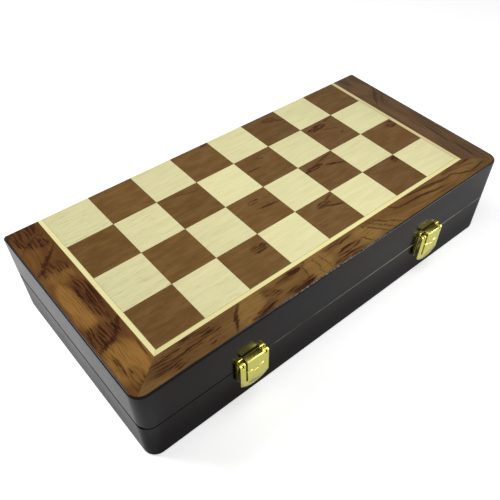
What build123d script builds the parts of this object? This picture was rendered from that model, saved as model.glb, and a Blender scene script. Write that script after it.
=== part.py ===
from build123d import *
import os

# Folding chess box: two equal shallow wooden trays, hinged along one long edge.
# The outer face of each tray carries one half of the board, so the box opened
# flat and turned over is the whole board. Two brass draw latches hold it shut.
#
# Millimetres. X runs along the box, +Y to the hinges, +Z up, and the origin is
# the centre of the underside. The box is modelled shut.

# ---- driving dimensions ----------------------------------------------------

LENGTH = 300.0            # X, outside
DEPTH = 145.0             # Y, outside
HEIGHT = 63.5             # Z, both trays shut
RIM_GAP = 0.3             # between the two rims when shut

WALL = 8.0                # side wall thickness
PANEL = 4.0               # board panel thickness
FRONT_CORNER = 8.0        # radius of the two front upright corners
BACK_CORNER = 1.0         # radius of the two hinge side upright corners
EDGE_TOLERANCE = 0.01     # for picking edges by place
PANEL_ROUND = 1.1         # round-over of the panel's outer edge
RIM_ROUND = 0.6           # easing of the rim's outer edge
FELT = 1.0                # lining on the panel inside

SQUARE = 31.25            # one square of the board
COLUMNS = 8               # squares along X
ROWS = 4                  # squares from the hinge edge to the front
STRIP = 2.9               # pale inlay line round the squares
VENEER = 0.8              # thickness of squares, strips and borders
VENEER_INSET = 1.2        # bare wood left round the veneer
SQUARE_JOINT = 0.03       # easing of each square's edges

HINGE_X = 90.0            # hinge centres, left and right of the middle
HINGE_LENGTH = 36.0
KNUCKLES = 5
KNUCKLE_GAP = 0.3
KNUCKLE_R = 2.0
HINGE_PIN_R = 1.0
HINGE_BORE_R = 1.05
KNUCKLE_RELIEF = 0.35     # room left round a knuckle
LEAF = 1.0                # leaf thickness
LEAF_WIDTH = 6.65         # from the hinge axis inwards
LEAF_SCREW_IN = 4.0       # screw line, from the hinge axis inwards
LEAF_SCREW_X = 11.0       # screws, left and right of the hinge's middle
SCREW_R = 0.9
SCREW_HEAD_R = 1.7
SCREW_LENGTH = 9.0
SCREW_CLEAR = 0.05

LATCH_X = 79.0            # latch centres, left and right of the middle
LATCH_HALF = 10.4         # half width of the lever
BRASS = 0.7               # sheet thickness of lever and link
LEVER_FACE = 4.0          # front of the lever's side strips, from the wall
LINK_FACE = 4.9           # front of the raised centre, from the wall
CENTRE_HALF = 5.75        # half width of the raised centre
SLOT = 0.7                # open slot at each side of the centre
LEVER_SIDE_Z = 17.7       # where the lever's straight sides end
LEVER_TOE_Z = 12.9        # lowest point of the lever's round toe
CENTRE_SIDE_Z = 18.9      # lower corners of the raised centre
CENTRE_TOE_Z = 16.3       # lowest point of the raised centre
FOOT = 0.8                # height of the step that joins the tongue to the toe
LINK_TOP_Z = 40.0         # top of the link's shelf

LEVER_PIVOT = (2.65, 36.9)    # from the wall, above the underside
LEVER_KNUCKLE_R = 1.35
RIVET_R = 0.55
RIVET_SHORT = 0.3         # from the slot to the rivet's inner end
LINK_PIVOT = (3.9, 29.1)
LINK_KNUCKLE_R = 1.0
LINK_PIN_R = 0.45
PIVOT_CLEAR = 0.05        # running clearance of both pivots
SEAT_CLEAR = 0.02         # pin in the part that holds it
LINK_KNUCKLE_HALF = 2.2   # half width of the link's own knuckle
PIVOT_GAP = 0.25          # end gap between neighbouring knuckles

PLATE = 0.8               # sheet thickness of the base and the keeper
PLATE_HALF = 10.25
PLATE_ROUND = 1.3
BASE_BOTTOM_Z = 18.2
BASE_TOP_Z = 31.2
KEEPER_BOTTOM_Z = 32.2
EAR = (8.0, 8.7)          # ear sheet, from the latch centre outwards
EAR_CLEAR = 0.25
EAR_EYE_R = 1.1
EAR_FRONT = 0.275         # front of the ear's arm, from the pivot outwards
EAR_FOOT = 4.0            # foot of the arm, above the plate's lower end
EAR_BEND = (0.5, 1.0)     # the arm leaves the plate this far below and above its top
EAR_NOTCH_Z = 35.2        # foot of the notch that the ear's eye needs
KEEPER_LIP_HALF = 4.6
KEEPER_LIP = (1.95, 2.6)  # back and front of the upturned lip
KEEPER_LEDGE_Z = (36.8, 37.5)
KEEPER_LIP_TOP_Z = 38.4
LINK_TIP = (1.05, 1.65)   # back and front of the link's downturned tip
LINK_TIP_Z = 38.65        # just clear of the lip, so that the lever swings freely
LINK_TIP_HALF = 4.6
LINK_BEND = 0.49          # outer radius of the bend between face and shelf
NAIL_R = 0.6
NAIL_HEAD_R = 1.3
NAIL_HEAD = 0.5
NAIL_LENGTH = 6.5
BASE_NAIL = (4.2, 23.4)   # from the latch centre, above the underside
KEEPER_NAIL = (3.0, 34.0)

# ---- worked out from them --------------------------------------------------

MID_Z = HEIGHT / 2
RIM_Z = MID_Z - RIM_GAP / 2               # the lower tray's rim
HINGE_Y = DEPTH / 2 + RIM_GAP / 2         # the open trays keep the same gap
BOARD_X = COLUMNS * SQUARE / 2            # half the length of the squares
BOARD_Y = DEPTH / 2 - ROWS * SQUARE       # front edge of the squares
STRIP_X = BOARD_X + STRIP
STRIP_Y = BOARD_Y - STRIP
VENEER_X = LENGTH / 2 - VENEER_INSET
VENEER_Y = -DEPTH / 2 + VENEER_INSET
MID_PLANE = Plane.XY.offset(MID_Z)
WINDOW_HALF = CENTRE_HALF + SLOT
OVER = 5.0                                # how far a cutter runs past


def block(x, y, z):
    """A box from three (low, high) pairs."""
    size = [b - a for a, b in (x, y, z)]
    middle = [(a + b) / 2 for a, b in (x, y, z)]
    return Pos(*middle) * Box(*size)


def plate(points, z0, z1):
    """A flat piece: an outline in X and Y between two heights."""
    face = make_face(Polyline(*points, close=True))
    return extrude(Plane.XY.offset(z0) * face, amount=z1 - z0)


def rounded(half_x, y0, y1, front_r, back_r):
    """The box's outline in plan, with its own radius at front and back."""
    face = Pos(0, (y0 + y1) / 2) * Rectangle(2 * half_x, y1 - y0)
    face = fillet(face.vertices().group_by(Axis.Y)[0], front_r)
    if back_r:
        face = fillet(face.vertices().group_by(Axis.Y)[-1], back_r)
    return face


def not_at_back(edges):
    """The edges that aren't along the hinge side."""
    return [e for e in edges if e.center().Y < DEPTH / 2 - BACK_CORNER - EDGE_TOLERANCE]


def rod_x(x, y, z, r):
    """A round rod along X; x is its (low, high) pair."""
    turned = Pos((x[0] + x[1]) / 2, y, z) * Rot(0, 90, 0)
    return turned * Cylinder(r, x[1] - x[0])


def as_it_is(shape):
    """A piece of the lower tray."""
    return shape


def flip(shape):
    """The same piece of the lid: mirrored in the plane between the rims."""
    return mirror(shape, about=MID_PLANE)


# ---- one tray --------------------------------------------------------------

def knuckle_spans(x_mid):
    """The (low, high) X of each knuckle of a hinge, from left to right."""
    width = (HINGE_LENGTH - (KNUCKLES - 1) * KNUCKLE_GAP) / KNUCKLES
    start = x_mid - HINGE_LENGTH / 2
    step = width + KNUCKLE_GAP
    return [(start + i * step, start + i * step + width) for i in range(KNUCKLES)]


def leaf_screw_places():
    """X and Y of every hinge screw of one tray."""
    y = HINGE_Y - LEAF_SCREW_IN
    return [(side * HINGE_X + i * LEAF_SCREW_X, y) for side in (-1, 1) for i in (-1, 1)]


def frame_ring():
    """The four walls of the tray in one piece, before they are mitred apart."""
    outer = rounded(LENGTH / 2, -DEPTH / 2, DEPTH / 2, FRONT_CORNER, BACK_CORNER)
    ring = extrude(Plane.XY.offset(PANEL) * outer, amount=RIM_Z - PANEL)
    ring = fillet(not_at_back(ring.edges().group_by(Axis.Z)[-1]), RIM_ROUND)
    ring -= block(
        (-LENGTH / 2 + WALL, LENGTH / 2 - WALL), (-DEPTH / 2 + WALL, DEPTH / 2 - WALL), (0, HEIGHT)
    )
    for side in (-1, 1):
        x_mid = side * HINGE_X
        ends = (x_mid - HINGE_LENGTH / 2, x_mid + HINGE_LENGTH / 2)
        ring -= block(ends, (HINGE_Y - LEAF_WIDTH, DEPTH), (RIM_Z - LEAF, HEIGHT))
        room = (ends[0] - KNUCKLE_RELIEF, ends[1] + KNUCKLE_RELIEF)
        ring -= rod_x(room, HINGE_Y, MID_Z, KNUCKLE_R + KNUCKLE_RELIEF)
    for x, y in leaf_screw_places():
        hole = Cylinder(SCREW_R + SCREW_CLEAR, SCREW_LENGTH + OVER)
        ring -= Pos(x, y, RIM_Z - (SCREW_LENGTH - OVER) / 2) * hole
    return ring


def mitred(ring, name):
    """One wall of the ring, cut free by a 45 degree mitre at each corner."""
    x1, y1 = LENGTH / 2 + OVER, DEPTH / 2 + OVER
    x2, y2 = LENGTH / 2 - 2 * WALL, DEPTH / 2 - 2 * WALL
    wedges = {
        "front_wall": [(-x1, -y1), (x1, -y1), (x2, -y2), (-x2, -y2)],
        "back_wall": [(-x1, y1), (x1, y1), (x2, y2), (-x2, y2)],
        "left_wall": [(-x1, -y1), (-x1, y1), (-x2, y2), (-x2, -y2)],
        "right_wall": [(x1, -y1), (x1, y1), (x2, y2), (x2, -y2)],
    }
    return ring & plate(wedges[name], 0, HEIGHT)


def nail_hole(x, z):
    """A nail's hole in the front wall."""
    place = Pos(x, -DEPTH / 2, z) * Rot(90, 0, 0)
    return place * Cylinder(NAIL_R + SEAT_CLEAR, 2 * NAIL_LENGTH)


def board_panel():
    """The panel under the board, with the shallow pocket that holds the veneer."""
    outer = rounded(LENGTH / 2, -DEPTH / 2, DEPTH / 2, FRONT_CORNER, BACK_CORNER)
    panel = extrude(outer, amount=PANEL)
    panel = fillet(not_at_back(panel.edges().group_by(Axis.Z)[0]), PANEL_ROUND)
    inner_r = FRONT_CORNER - VENEER_INSET
    pocket = rounded(VENEER_X, VENEER_Y, DEPTH / 2 + OVER, inner_r, 0)
    return panel - extrude(pocket, amount=VENEER)


def squares(colour):
    """The sixteen squares of one colour; column and row parity decides which."""
    half = SQUARE / 2 - SQUARE_JOINT
    pieces = []
    for column in range(COLUMNS):
        for row in range(ROWS):
            if (column + row) % 2 != colour:
                continue
            x = -BOARD_X + (column + 0.5) * SQUARE
            y = DEPTH / 2 - (row + 0.5) * SQUARE
            pieces.append(block((x - half, x + half), (y - half, y + half), (0, VENEER)))
    return Compound(children=pieces)


def inlay_strips():
    """Three pale lines, mitred at the two front corners of the squares."""
    back = DEPTH / 2
    outlines = [[(-BOARD_X, BOARD_Y), (BOARD_X, BOARD_Y), (STRIP_X, STRIP_Y), (-STRIP_X, STRIP_Y)]]
    for x1, x2 in ((-BOARD_X, -STRIP_X), (BOARD_X, STRIP_X)):
        outlines.append([(x1, back), (x2, back), (x2, STRIP_Y), (x1, BOARD_Y)])
    return Compound(children=[plate(outline, 0, VENEER) for outline in outlines])


def border(name):
    """One veneer border, mitred from the strip's corner to the box's corner."""
    inner_r = FRONT_CORNER - VENEER_INSET
    sheet = extrude(rounded(VENEER_X, VENEER_Y, DEPTH / 2, inner_r, 0), amount=VENEER)
    back = DEPTH / 2
    left, right = (-STRIP_X, STRIP_Y), (STRIP_X, STRIP_Y)
    left_corner, right_corner = (-VENEER_X, VENEER_Y), (VENEER_X, VENEER_Y)
    outlines = {
        "border_left": [(-STRIP_X, back), (-VENEER_X, back), left_corner, left],
        "border_right": [(STRIP_X, back), (VENEER_X, back), right_corner, right],
        "border_front": [left, right, right_corner, left_corner],
    }
    return sheet & plate(outlines[name], 0, VENEER)


def felt_lining():
    """The felt on the panel, inside the tray."""
    x, y = LENGTH / 2 - WALL, DEPTH / 2 - WALL
    return block((-x, x), (-y, y), (PANEL, PANEL + FELT))


# ---- hinges ----------------------------------------------------------------

def hinge_leaf(x_mid, first):
    """A leaf let into the lower rim; first is 0 or 1, the first knuckle it owns."""
    spans = knuckle_spans(x_mid)
    ends = (x_mid - HINGE_LENGTH / 2, x_mid + HINGE_LENGTH / 2)
    leaf = block(ends, (HINGE_Y - LEAF_WIDTH, HINGE_Y), (RIM_Z - LEAF, RIM_Z))
    leaf -= rod_x(ends, HINGE_Y, MID_Z, KNUCKLE_R + KNUCKLE_RELIEF)
    for low, high in spans[first::2]:
        root = (HINGE_Y - KNUCKLE_R - 2 * KNUCKLE_RELIEF, HINGE_Y)
        leaf += block((low, high), root, (RIM_Z - LEAF, RIM_Z))
        leaf += rod_x((low, high), HINGE_Y, MID_Z, KNUCKLE_R)
    leaf -= rod_x((ends[0] - OVER, ends[1] + OVER), HINGE_Y, MID_Z, HINGE_BORE_R)
    for x, y in leaf_screw_places():
        if abs(x - x_mid) < HINGE_LENGTH / 2:
            sink = Cone(SCREW_R + SCREW_CLEAR, SCREW_HEAD_R + SCREW_CLEAR, LEAF)
            leaf -= Pos(x, y, RIM_Z - LEAF / 2) * sink
    return leaf


def hinge_pin(x_mid):
    """The steel pin of one hinge."""
    half = HINGE_LENGTH / 2
    return rod_x((x_mid - half, x_mid + half), HINGE_Y, MID_Z, HINGE_PIN_R)


def hinge_screws():
    """The four countersunk screws that hold the leaves of one tray."""
    head = Pos(0, 0, -LEAF / 2) * Cone(SCREW_R, SCREW_HEAD_R, LEAF)
    shank = Pos(0, 0, -(LEAF + SCREW_LENGTH) / 2) * Cylinder(SCREW_R, SCREW_LENGTH - LEAF)
    screw = head + shank
    return Compound(children=[Pos(x, y, RIM_Z) * screw for x, y in leaf_screw_places()])


# ---- draw latches ----------------------------------------------------------
# Below, "out" is the distance from the front wall's face, and x is measured
# from the latch's own centre line.

def from_front(face, x_mid, out):
    """An outline in X and Z, given its (back, front) distance from the wall."""
    plane = Plane.XZ.offset(DEPTH / 2 + out[0])
    return Pos(x_mid, 0, 0) * extrude(plane * face, amount=out[1] - out[0])


def from_side(face, x_mid, x):
    """A profile in out and Z, given its (low, high) X."""
    plane = Plane(origin=(x_mid + x[1], -DEPTH / 2, 0), x_dir=(0, -1, 0), z_dir=(-1, 0, 0))
    return extrude(plane * face, amount=x[1] - x[0])


def both_sides(x):
    """The same (low, high) span at the right and at the left of the centre."""
    return [x, (-x[1], -x[0])]


def area(half_x, z0, z1):
    """A rectangle of the latch in X and Z."""
    return Pos(0, (z0 + z1) / 2) * Rectangle(2 * half_x, z1 - z0)


def round_ended(half_x, corner_z, toe_z, top_z):
    """A straight sided outline whose lower end is one arc."""
    left, right, toe = (-half_x, corner_z), (half_x, corner_z), (0, toe_z)
    sides = Polyline(right, (half_x, top_z), (-half_x, top_z), left)
    return make_face([sides, ThreePointArc(left, toe, right)])


def eye(pivot, r):
    """A disc round a pivot, as a profile."""
    return Pos(*pivot) * Circle(r)


def pivot_rod(x_mid, pivot, x, r):
    """A rod along a pivot."""
    return rod_x((x_mid + x[0], x_mid + x[1]), -DEPTH / 2 - pivot[0], pivot[1], r)


def latch_base(x_mid):
    """The plate nailed to the lower tray, with two upright ears for the lever."""
    face = area(PLATE_HALF, BASE_BOTTOM_Z, BASE_TOP_Z)
    face = fillet(face.vertices(), PLATE_ROUND / 2)
    base = from_front(face, x_mid, (0, PLATE))
    out, z = LEVER_PIVOT
    low, high = BASE_TOP_Z - EAR_BEND[0], BASE_TOP_Z + EAR_BEND[1]
    arm = Polyline(
        (PLATE / 2, BASE_BOTTOM_Z + EAR_FOOT), (PLATE / 2, low), (LINK_TIP[0] + PLATE / 2, high),
        (out - EAR_EYE_R, z), (out + EAR_FRONT, z), (out + EAR_FRONT, BASE_TOP_Z), close=True,
    )
    ear = make_face(arm) + eye(LEVER_PIVOT, EAR_EYE_R) - eye(LEVER_PIVOT, RIVET_R + SEAT_CLEAR)
    for span in both_sides(EAR):
        base += from_side(ear, x_mid, span)
    for side in (-1, 1):
        base -= nail_hole(x_mid + side * BASE_NAIL[0], BASE_NAIL[1])
    return base


def latch_keeper(x_mid):
    """The plate nailed to the lid, with the upturned lip that the link grips."""
    face = area(PLATE_HALF, KEEPER_BOTTOM_Z, LINK_TOP_Z)
    face = fillet(face.vertices().group_by(Axis.Y)[-1], PLATE_ROUND)
    keeper = from_front(face, x_mid, (0, PLATE))
    low, high = KEEPER_LEDGE_Z
    lip = Polyline(
        (PLATE / 2, low), (KEEPER_LIP[1], low), (KEEPER_LIP[1], KEEPER_LIP_TOP_Z),
        (KEEPER_LIP[0], KEEPER_LIP_TOP_Z), (KEEPER_LIP[0], high), (PLATE / 2, high), close=True,
    )
    keeper += from_side(make_face(lip), x_mid, (-KEEPER_LIP_HALF, KEEPER_LIP_HALF))
    for side in (-1, 1):
        keeper -= nail_hole(x_mid + side * KEEPER_NAIL[0], KEEPER_NAIL[1])
    return keeper


def latch_lever(x_mid):
    """The lever: side strips and toe, a raised tongue, and both sets of knuckles."""
    sheet = (LEVER_FACE - BRASS, LEVER_FACE)
    raised = (LINK_FACE - BRASS, LINK_FACE)
    pivot_z, link_z = LEVER_PIVOT[1], LINK_PIVOT[1]
    frame = round_ended(LATCH_HALF, LEVER_SIDE_Z, LEVER_TOE_Z, pivot_z)
    frame -= round_ended(WINDOW_HALF, CENTRE_SIDE_Z + FOOT, CENTRE_TOE_Z + FOOT, pivot_z + OVER)
    lever = from_front(frame, x_mid, sheet)

    tongue = round_ended(CENTRE_HALF, CENTRE_SIDE_Z, CENTRE_TOE_Z, link_z)
    lever += from_front(tongue, x_mid, raised)
    foot = tongue - Pos(0, 2 * FOOT) * tongue
    lever += from_front(foot, x_mid, (sheet[0], raised[1]))
    notch_z = link_z - LINK_KNUCKLE_R - PIVOT_GAP
    notch_half = LINK_KNUCKLE_HALF + PIVOT_GAP
    notch_out = (LINK_PIVOT[0] - LINK_KNUCKLE_R, LINK_FACE + OVER)
    lever -= from_front(area(notch_half, notch_z, link_z + OVER), x_mid, notch_out)

    ear_room = (EAR[0] - EAR_CLEAR, EAR[1] + EAR_CLEAR)
    for low, high in both_sides(ear_room):
        lever -= block(
            (x_mid + low, x_mid + high), (-DEPTH / 2 - LINK_FACE, -DEPTH / 2), (EAR_NOTCH_Z, LINK_TOP_Z)
        )
    for span in both_sides((WINDOW_HALF, ear_room[0])) + both_sides((ear_room[1], LATCH_HALF)):
        lever += from_side(eye(LEVER_PIVOT, LEVER_KNUCKLE_R), x_mid, span)
    for span in both_sides((notch_half, CENTRE_HALF)):
        lever += from_side(eye(LINK_PIVOT, LINK_KNUCKLE_R), x_mid, span)
    whole = (-LATCH_HALF - OVER, LATCH_HALF + OVER)
    lever -= pivot_rod(x_mid, LEVER_PIVOT, whole, RIVET_R + PIVOT_CLEAR)
    return lever - pivot_rod(x_mid, LINK_PIVOT, (-CENTRE_HALF, CENTRE_HALF), LINK_PIN_R + SEAT_CLEAR)


def latch_link(x_mid):
    """The hooked link: knuckle, front face, shelf and downturned tip."""
    raised = (LINK_FACE - BRASS, LINK_FACE)
    link_z = LINK_PIVOT[1]
    bottom = link_z + LINK_KNUCKLE_R + PIVOT_GAP
    link = from_front(area(CENTRE_HALF, bottom, LINK_TOP_Z), x_mid, raised)
    link += from_front(area(LINK_KNUCKLE_HALF, link_z, bottom), x_mid, raised)
    link += from_side(eye(LINK_PIVOT, LINK_KNUCKLE_R), x_mid, (-LINK_KNUCKLE_HALF, LINK_KNUCKLE_HALF))
    shelf = area(CENTRE_HALF, LINK_TOP_Z - BRASS, LINK_TOP_Z)
    link += from_front(shelf, x_mid, (LINK_TIP[0], LINK_FACE))
    link += from_front(area(LINK_TIP_HALF, LINK_TIP_Z, LINK_TOP_Z), x_mid, LINK_TIP)
    bend = link.edges().filter_by(Axis.X).group_by(Axis.Z)[-1].sort_by(Axis.Y)[0]
    link = fillet(bend, LINK_BEND)
    return link - pivot_rod(x_mid, LINK_PIVOT, (-CENTRE_HALF, CENTRE_HALF), LINK_PIN_R + PIVOT_CLEAR)


def lever_rivets(x_mid):
    """Two short rivets, one through each ear, that the lever turns on."""
    spans = both_sides((WINDOW_HALF + RIVET_SHORT, LATCH_HALF))
    return Compound(children=[pivot_rod(x_mid, LEVER_PIVOT, span, RIVET_R) for span in spans])


def link_pin(x_mid):
    """The pin that joins the link to the lever."""
    return pivot_rod(x_mid, LINK_PIVOT, (-CENTRE_HALF, CENTRE_HALF), LINK_PIN_R)


def latch_nail_places(place):
    """X and Z of both latches' nails in one tray."""
    return [(x_mid + side * place[0], place[1]) for x_mid in (-LATCH_X, LATCH_X) for side in (-1, 1)]


def latch_nails(place):
    """The round headed nails of both latch plates of one tray."""
    out = Pos(0, -DEPTH / 2 - PLATE - NAIL_HEAD / 2) * Rot(90, 0, 0)
    nail = out * Cone(NAIL_HEAD_R, NAIL_R, NAIL_HEAD)
    nail += from_front(Circle(NAIL_R), 0, (PLATE - NAIL_LENGTH, PLATE))
    return Compound(children=[Pos(x, 0, z) * nail for x, z in latch_nail_places(place)])


# ---- the whole box ---------------------------------------------------------

def build():
    """Every node of the box, by name."""
    nodes = {}
    ring = frame_ring()
    panel = board_panel()
    trays = (("tray", as_it_is, BASE_NAIL, 1), ("lid", flip, KEEPER_NAIL, 0))
    for tray, to_place, nail, light in trays:
        for name in ("front_wall", "back_wall", "left_wall", "right_wall"):
            wall = to_place(mitred(ring, name))
            if name == "front_wall":
                for x, z in latch_nail_places(nail):
                    wall -= nail_hole(x, z)
            nodes[f"{tray}_{name}"] = wall
        nodes[f"{tray}_panel"] = to_place(panel)
        nodes[f"{tray}_light_squares"] = to_place(squares(light))
        nodes[f"{tray}_dark_squares"] = to_place(squares(1 - light))
        nodes[f"{tray}_inlay_strips"] = to_place(inlay_strips())
        for name in ("border_left", "border_right", "border_front"):
            nodes[f"{tray}_{name}"] = to_place(border(name))
        nodes[f"{tray}_felt_lining"] = to_place(felt_lining())
        nodes[f"{tray}_hinge_screws"] = to_place(hinge_screws())
        nodes[f"{tray}_latch_nails"] = latch_nails(nail)

    for name, side in (("left", -1), ("right", 1)):
        x_mid = side * HINGE_X
        nodes[f"hinge_{name}_tray_leaf"] = hinge_leaf(x_mid, 0)
        nodes[f"hinge_{name}_lid_leaf"] = flip(hinge_leaf(x_mid, 1))
        nodes[f"hinge_{name}_pin"] = hinge_pin(x_mid)
        x_mid = side * LATCH_X
        nodes[f"latch_{name}_base"] = latch_base(x_mid)
        nodes[f"latch_{name}_keeper"] = latch_keeper(x_mid)
        nodes[f"latch_{name}_lever"] = latch_lever(x_mid)
        nodes[f"latch_{name}_lever_rivets"] = lever_rivets(x_mid)
        nodes[f"latch_{name}_link"] = latch_link(x_mid)
        nodes[f"latch_{name}_link_pin"] = link_pin(x_mid)
    return nodes


os.makedirs("parts", exist_ok=True)
for node, shape in build().items():
    export_step(shape, f"parts/{node}.step")
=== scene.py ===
"""Dresses the folding chess box: a veneered board over a black lacquered case with brass latches.

Metres. X runs along the box, +Y to the hinges, +Z up. The box stands shut on the
floor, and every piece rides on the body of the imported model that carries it.
"""

import logging
import math
from dataclasses import dataclass
from enum import Enum

import bmesh
import bpy
from mathutils import Matrix, Vector, noise


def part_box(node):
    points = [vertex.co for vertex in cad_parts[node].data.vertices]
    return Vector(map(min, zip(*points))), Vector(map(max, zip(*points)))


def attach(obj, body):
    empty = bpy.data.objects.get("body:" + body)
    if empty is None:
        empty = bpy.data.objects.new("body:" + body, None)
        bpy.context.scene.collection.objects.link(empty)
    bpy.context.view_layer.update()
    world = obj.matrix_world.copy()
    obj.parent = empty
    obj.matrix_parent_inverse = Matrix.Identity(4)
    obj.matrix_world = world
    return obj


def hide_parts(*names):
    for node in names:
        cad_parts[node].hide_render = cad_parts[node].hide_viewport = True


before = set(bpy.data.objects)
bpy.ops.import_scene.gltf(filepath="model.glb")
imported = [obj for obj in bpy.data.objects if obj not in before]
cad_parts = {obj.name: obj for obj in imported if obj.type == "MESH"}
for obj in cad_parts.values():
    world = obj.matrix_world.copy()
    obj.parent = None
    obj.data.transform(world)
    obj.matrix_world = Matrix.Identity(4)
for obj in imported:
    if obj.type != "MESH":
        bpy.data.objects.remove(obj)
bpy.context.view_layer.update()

log = logging.getLogger("chess_box")

MM = 0.001

Socket = bpy.types.NodeSocket
Node = bpy.types.Node
Tree = bpy.types.NodeTree
Material = bpy.types.Material
Mesh = bpy.types.Mesh
Object = bpy.types.Object
Form = bmesh.types.BMesh
Colour = tuple[float, float, float, float]
Place = tuple[float, float, float]


def tone(red: int, green: int, blue: int) -> Colour:
    """Gives a screen colour, 0 to 255, as the linear colour that shaders take."""
    shares = (v / 255 for v in (red, green, blue))
    return (*(s / 12.92 if s <= 0.04045 else ((s + 0.055) / 1.055) ** 2.4 for s in shares), 1.0)


# ---- node trees --------------------------------------------------------------


class Nodes:
    """Adds linked nodes to one tree; every value may be a number or a socket."""

    def __init__(self, tree: Tree) -> None:
        """Takes the tree that the nodes go into."""
        self.tree = tree

    def add(self, kind: str, inputs: dict | None = None, **settings: object) -> Node:
        """Adds a node.

        Args:
            kind: the node's type name.
            inputs: values or sockets by input name or index.
            settings: the node's own properties.

        Returns:
            The new node.
        """
        node = self.tree.nodes.new(kind)
        for name, value in settings.items():
            setattr(node, name, value)
        for name, value in (inputs or {}).items():
            self.feed(node.inputs[name], value)
        return node

    def one(self, kind: str, inputs: dict | None = None, **settings: object) -> Socket:
        """Adds a node, as add does, and returns its first output."""
        return self.add(kind, inputs, **settings).outputs[0]

    def feed(self, socket: Socket, value: object) -> None:
        """Links a socket to an input, or sets the input's own value.

        Args:
            socket: the input.
            value: a socket, or the input's own value.
        """
        if isinstance(value, Socket):
            self.tree.links.new(value, socket)
        else:
            socket.default_value = value

    def put(self, node: Node, **values: object) -> None:
        """Feeds a node's inputs by name, with underscores for spaces."""
        for name, value in values.items():
            self.feed(node.inputs[name.replace("_", " ")], value)

    def math(self, operation: str, *values: float | Socket, clamp: bool = False) -> Socket:
        """Adds a Math node and returns its result."""
        inputs = dict(enumerate(values))
        return self.one("ShaderNodeMath", inputs, operation=operation, use_clamp=clamp)

    def plus(self, *values: float | Socket) -> Socket:
        """Adds two values."""
        return self.math("ADD", *values)

    def minus(self, *values: float | Socket) -> Socket:
        """Takes the second value from the first."""
        return self.math("SUBTRACT", *values)

    def times(self, *values: float | Socket) -> Socket:
        """Multiplies two values."""
        return self.math("MULTIPLY", *values)

    def over(self, *values: float | Socket) -> Socket:
        """Divides the first value by the second."""
        return self.math("DIVIDE", *values)

    def most(self, *values: float | Socket) -> Socket:
        """Returns the larger of two values."""
        return self.math("MAXIMUM", *values)

    def gap(self, *values: float | Socket) -> Socket:
        """Returns how far two values lie apart."""
        return self.math("ABSOLUTE", self.minus(*values))

    def vector(self, operation: str, *values: Place | Socket) -> Socket:
        """Adds a Vector Math node and returns its vector."""
        return self.one("ShaderNodeVectorMath", dict(enumerate(values)), operation=operation)

    def split(self, vector: Socket) -> tuple[Socket, Socket, Socket]:
        """Returns a vector's X, Y and Z."""
        return tuple(self.add("ShaderNodeSeparateXYZ", {0: vector}).outputs)

    def join(self, x: float | Socket, y: float | Socket, z: float | Socket = 0.0) -> Socket:
        """Returns a vector made from X, Y and Z."""
        return self.one("ShaderNodeCombineXYZ", {0: x, 1: y, 2: z})

    def cloud(self, vector: Socket, seed: float | Socket, detail: float = 2.0, rough: float = 0.5,
              warp: float = 0.0, scale: float = 1.0) -> Socket:
        """Adds seeded fractal noise.

        Args:
            vector: the place.
            seed: which noise it is.
            detail: the number of finer layers.
            rough: how strong the finer layers are.
            warp: how far the noise bends itself.
            scale: cells to a unit of the place.

        Returns:
            The noise, 0 to 1.
        """
        inputs = {"Vector": vector, "W": seed, "Scale": scale, "Detail": detail,
                  "Roughness": rough, "Distortion": warp}
        return self.one("ShaderNodeTexNoise", inputs, noise_dimensions="4D")

    def span(self, value: Socket, low: float, high: float, to_low: float = 0.0,
             to_high: float = 1.0) -> Socket:
        """Maps a value smoothly from low..high to to_low..to_high."""
        inputs = {0: value, 1: low, 2: high, 3: to_low, 4: to_high}
        return self.one("ShaderNodeMapRange", inputs, interpolation_type="SMOOTHSTEP")

    def mix(self, amount: float | Socket, low: Colour | Socket, high: Colour | Socket,
            mode: str = "MIX") -> Socket:
        """Mixes two colours and returns the result."""
        inputs = {0: amount, 6: low, 7: high}
        return self.add("ShaderNodeMix", inputs, data_type="RGBA", blend_type=mode).outputs[2]

    def shaded(self, colour: Socket, light: Socket) -> Socket:
        """Multiplies a colour by a brightness."""
        return self.mix(1.0, colour, self.join(light, light, light), "MULTIPLY")

    def bump(self, height: Socket, depth: float) -> Socket:
        """Turns a height into a normal; depth is in metres."""
        inputs = {"Height": height, "Distance": depth, "Strength": 1.0}
        return self.one("ShaderNodeBump", inputs)

    def object_place(self) -> Socket:
        """Returns the place on the object, in metres."""
        return self.add("ShaderNodeTexCoord").outputs["Object"]

    def use(self, group: Tree, **inputs: object) -> dict[str, Socket]:
        """Places a shared group.

        Args:
            group: the group.
            inputs: values or sockets, named as for put.

        Returns:
            The group's outputs by name.
        """
        node = self.add("ShaderNodeGroup", node_tree=group)
        self.put(node, **inputs)
        return {output.name: output for output in node.outputs}


def fresh_nodes(owner: Material | bpy.types.World) -> Nodes:
    """Empties the node tree of a material or a world.

    Args:
        owner: the material or the world.

    Returns:
        Its Nodes.
    """
    owner.use_nodes = True
    owner.node_tree.nodes.clear()
    return Nodes(owner.node_tree)


def open_group(name: str, inputs: dict[str, float | str], outputs: dict[str, str],
               kind: str = "ShaderNodeTree") -> tuple[Nodes, dict[str, Socket], Node]:
    """Starts a node group with named sockets.

    Args:
        name: the group's name.
        inputs: by socket name, a number's default, or the type of a socket with no default.
        outputs: by socket name, the socket's type.
        kind: the tree's type.

    Returns:
        Its Nodes, its inputs by name, and its output node.
    """
    tree = bpy.data.node_groups.new(name, kind)
    for label, value in inputs.items():
        short = value if isinstance(value, str) else type(value).__name__.title()
        socket = tree.interface.new_socket(label, in_out="INPUT", socket_type=f"NodeSocket{short}")
        if not isinstance(value, str):
            socket.default_value = value
    for label, short in outputs.items():
        tree.interface.new_socket(label, in_out="OUTPUT", socket_type=f"NodeSocket{short}")
    nodes = Nodes(tree)
    source = nodes.add("NodeGroupInput")
    sink = nodes.add("NodeGroupOutput")
    return nodes, {o.name: o for o in source.outputs if o.name}, sink


# ---- shared shader effects ---------------------------------------------------

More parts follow.
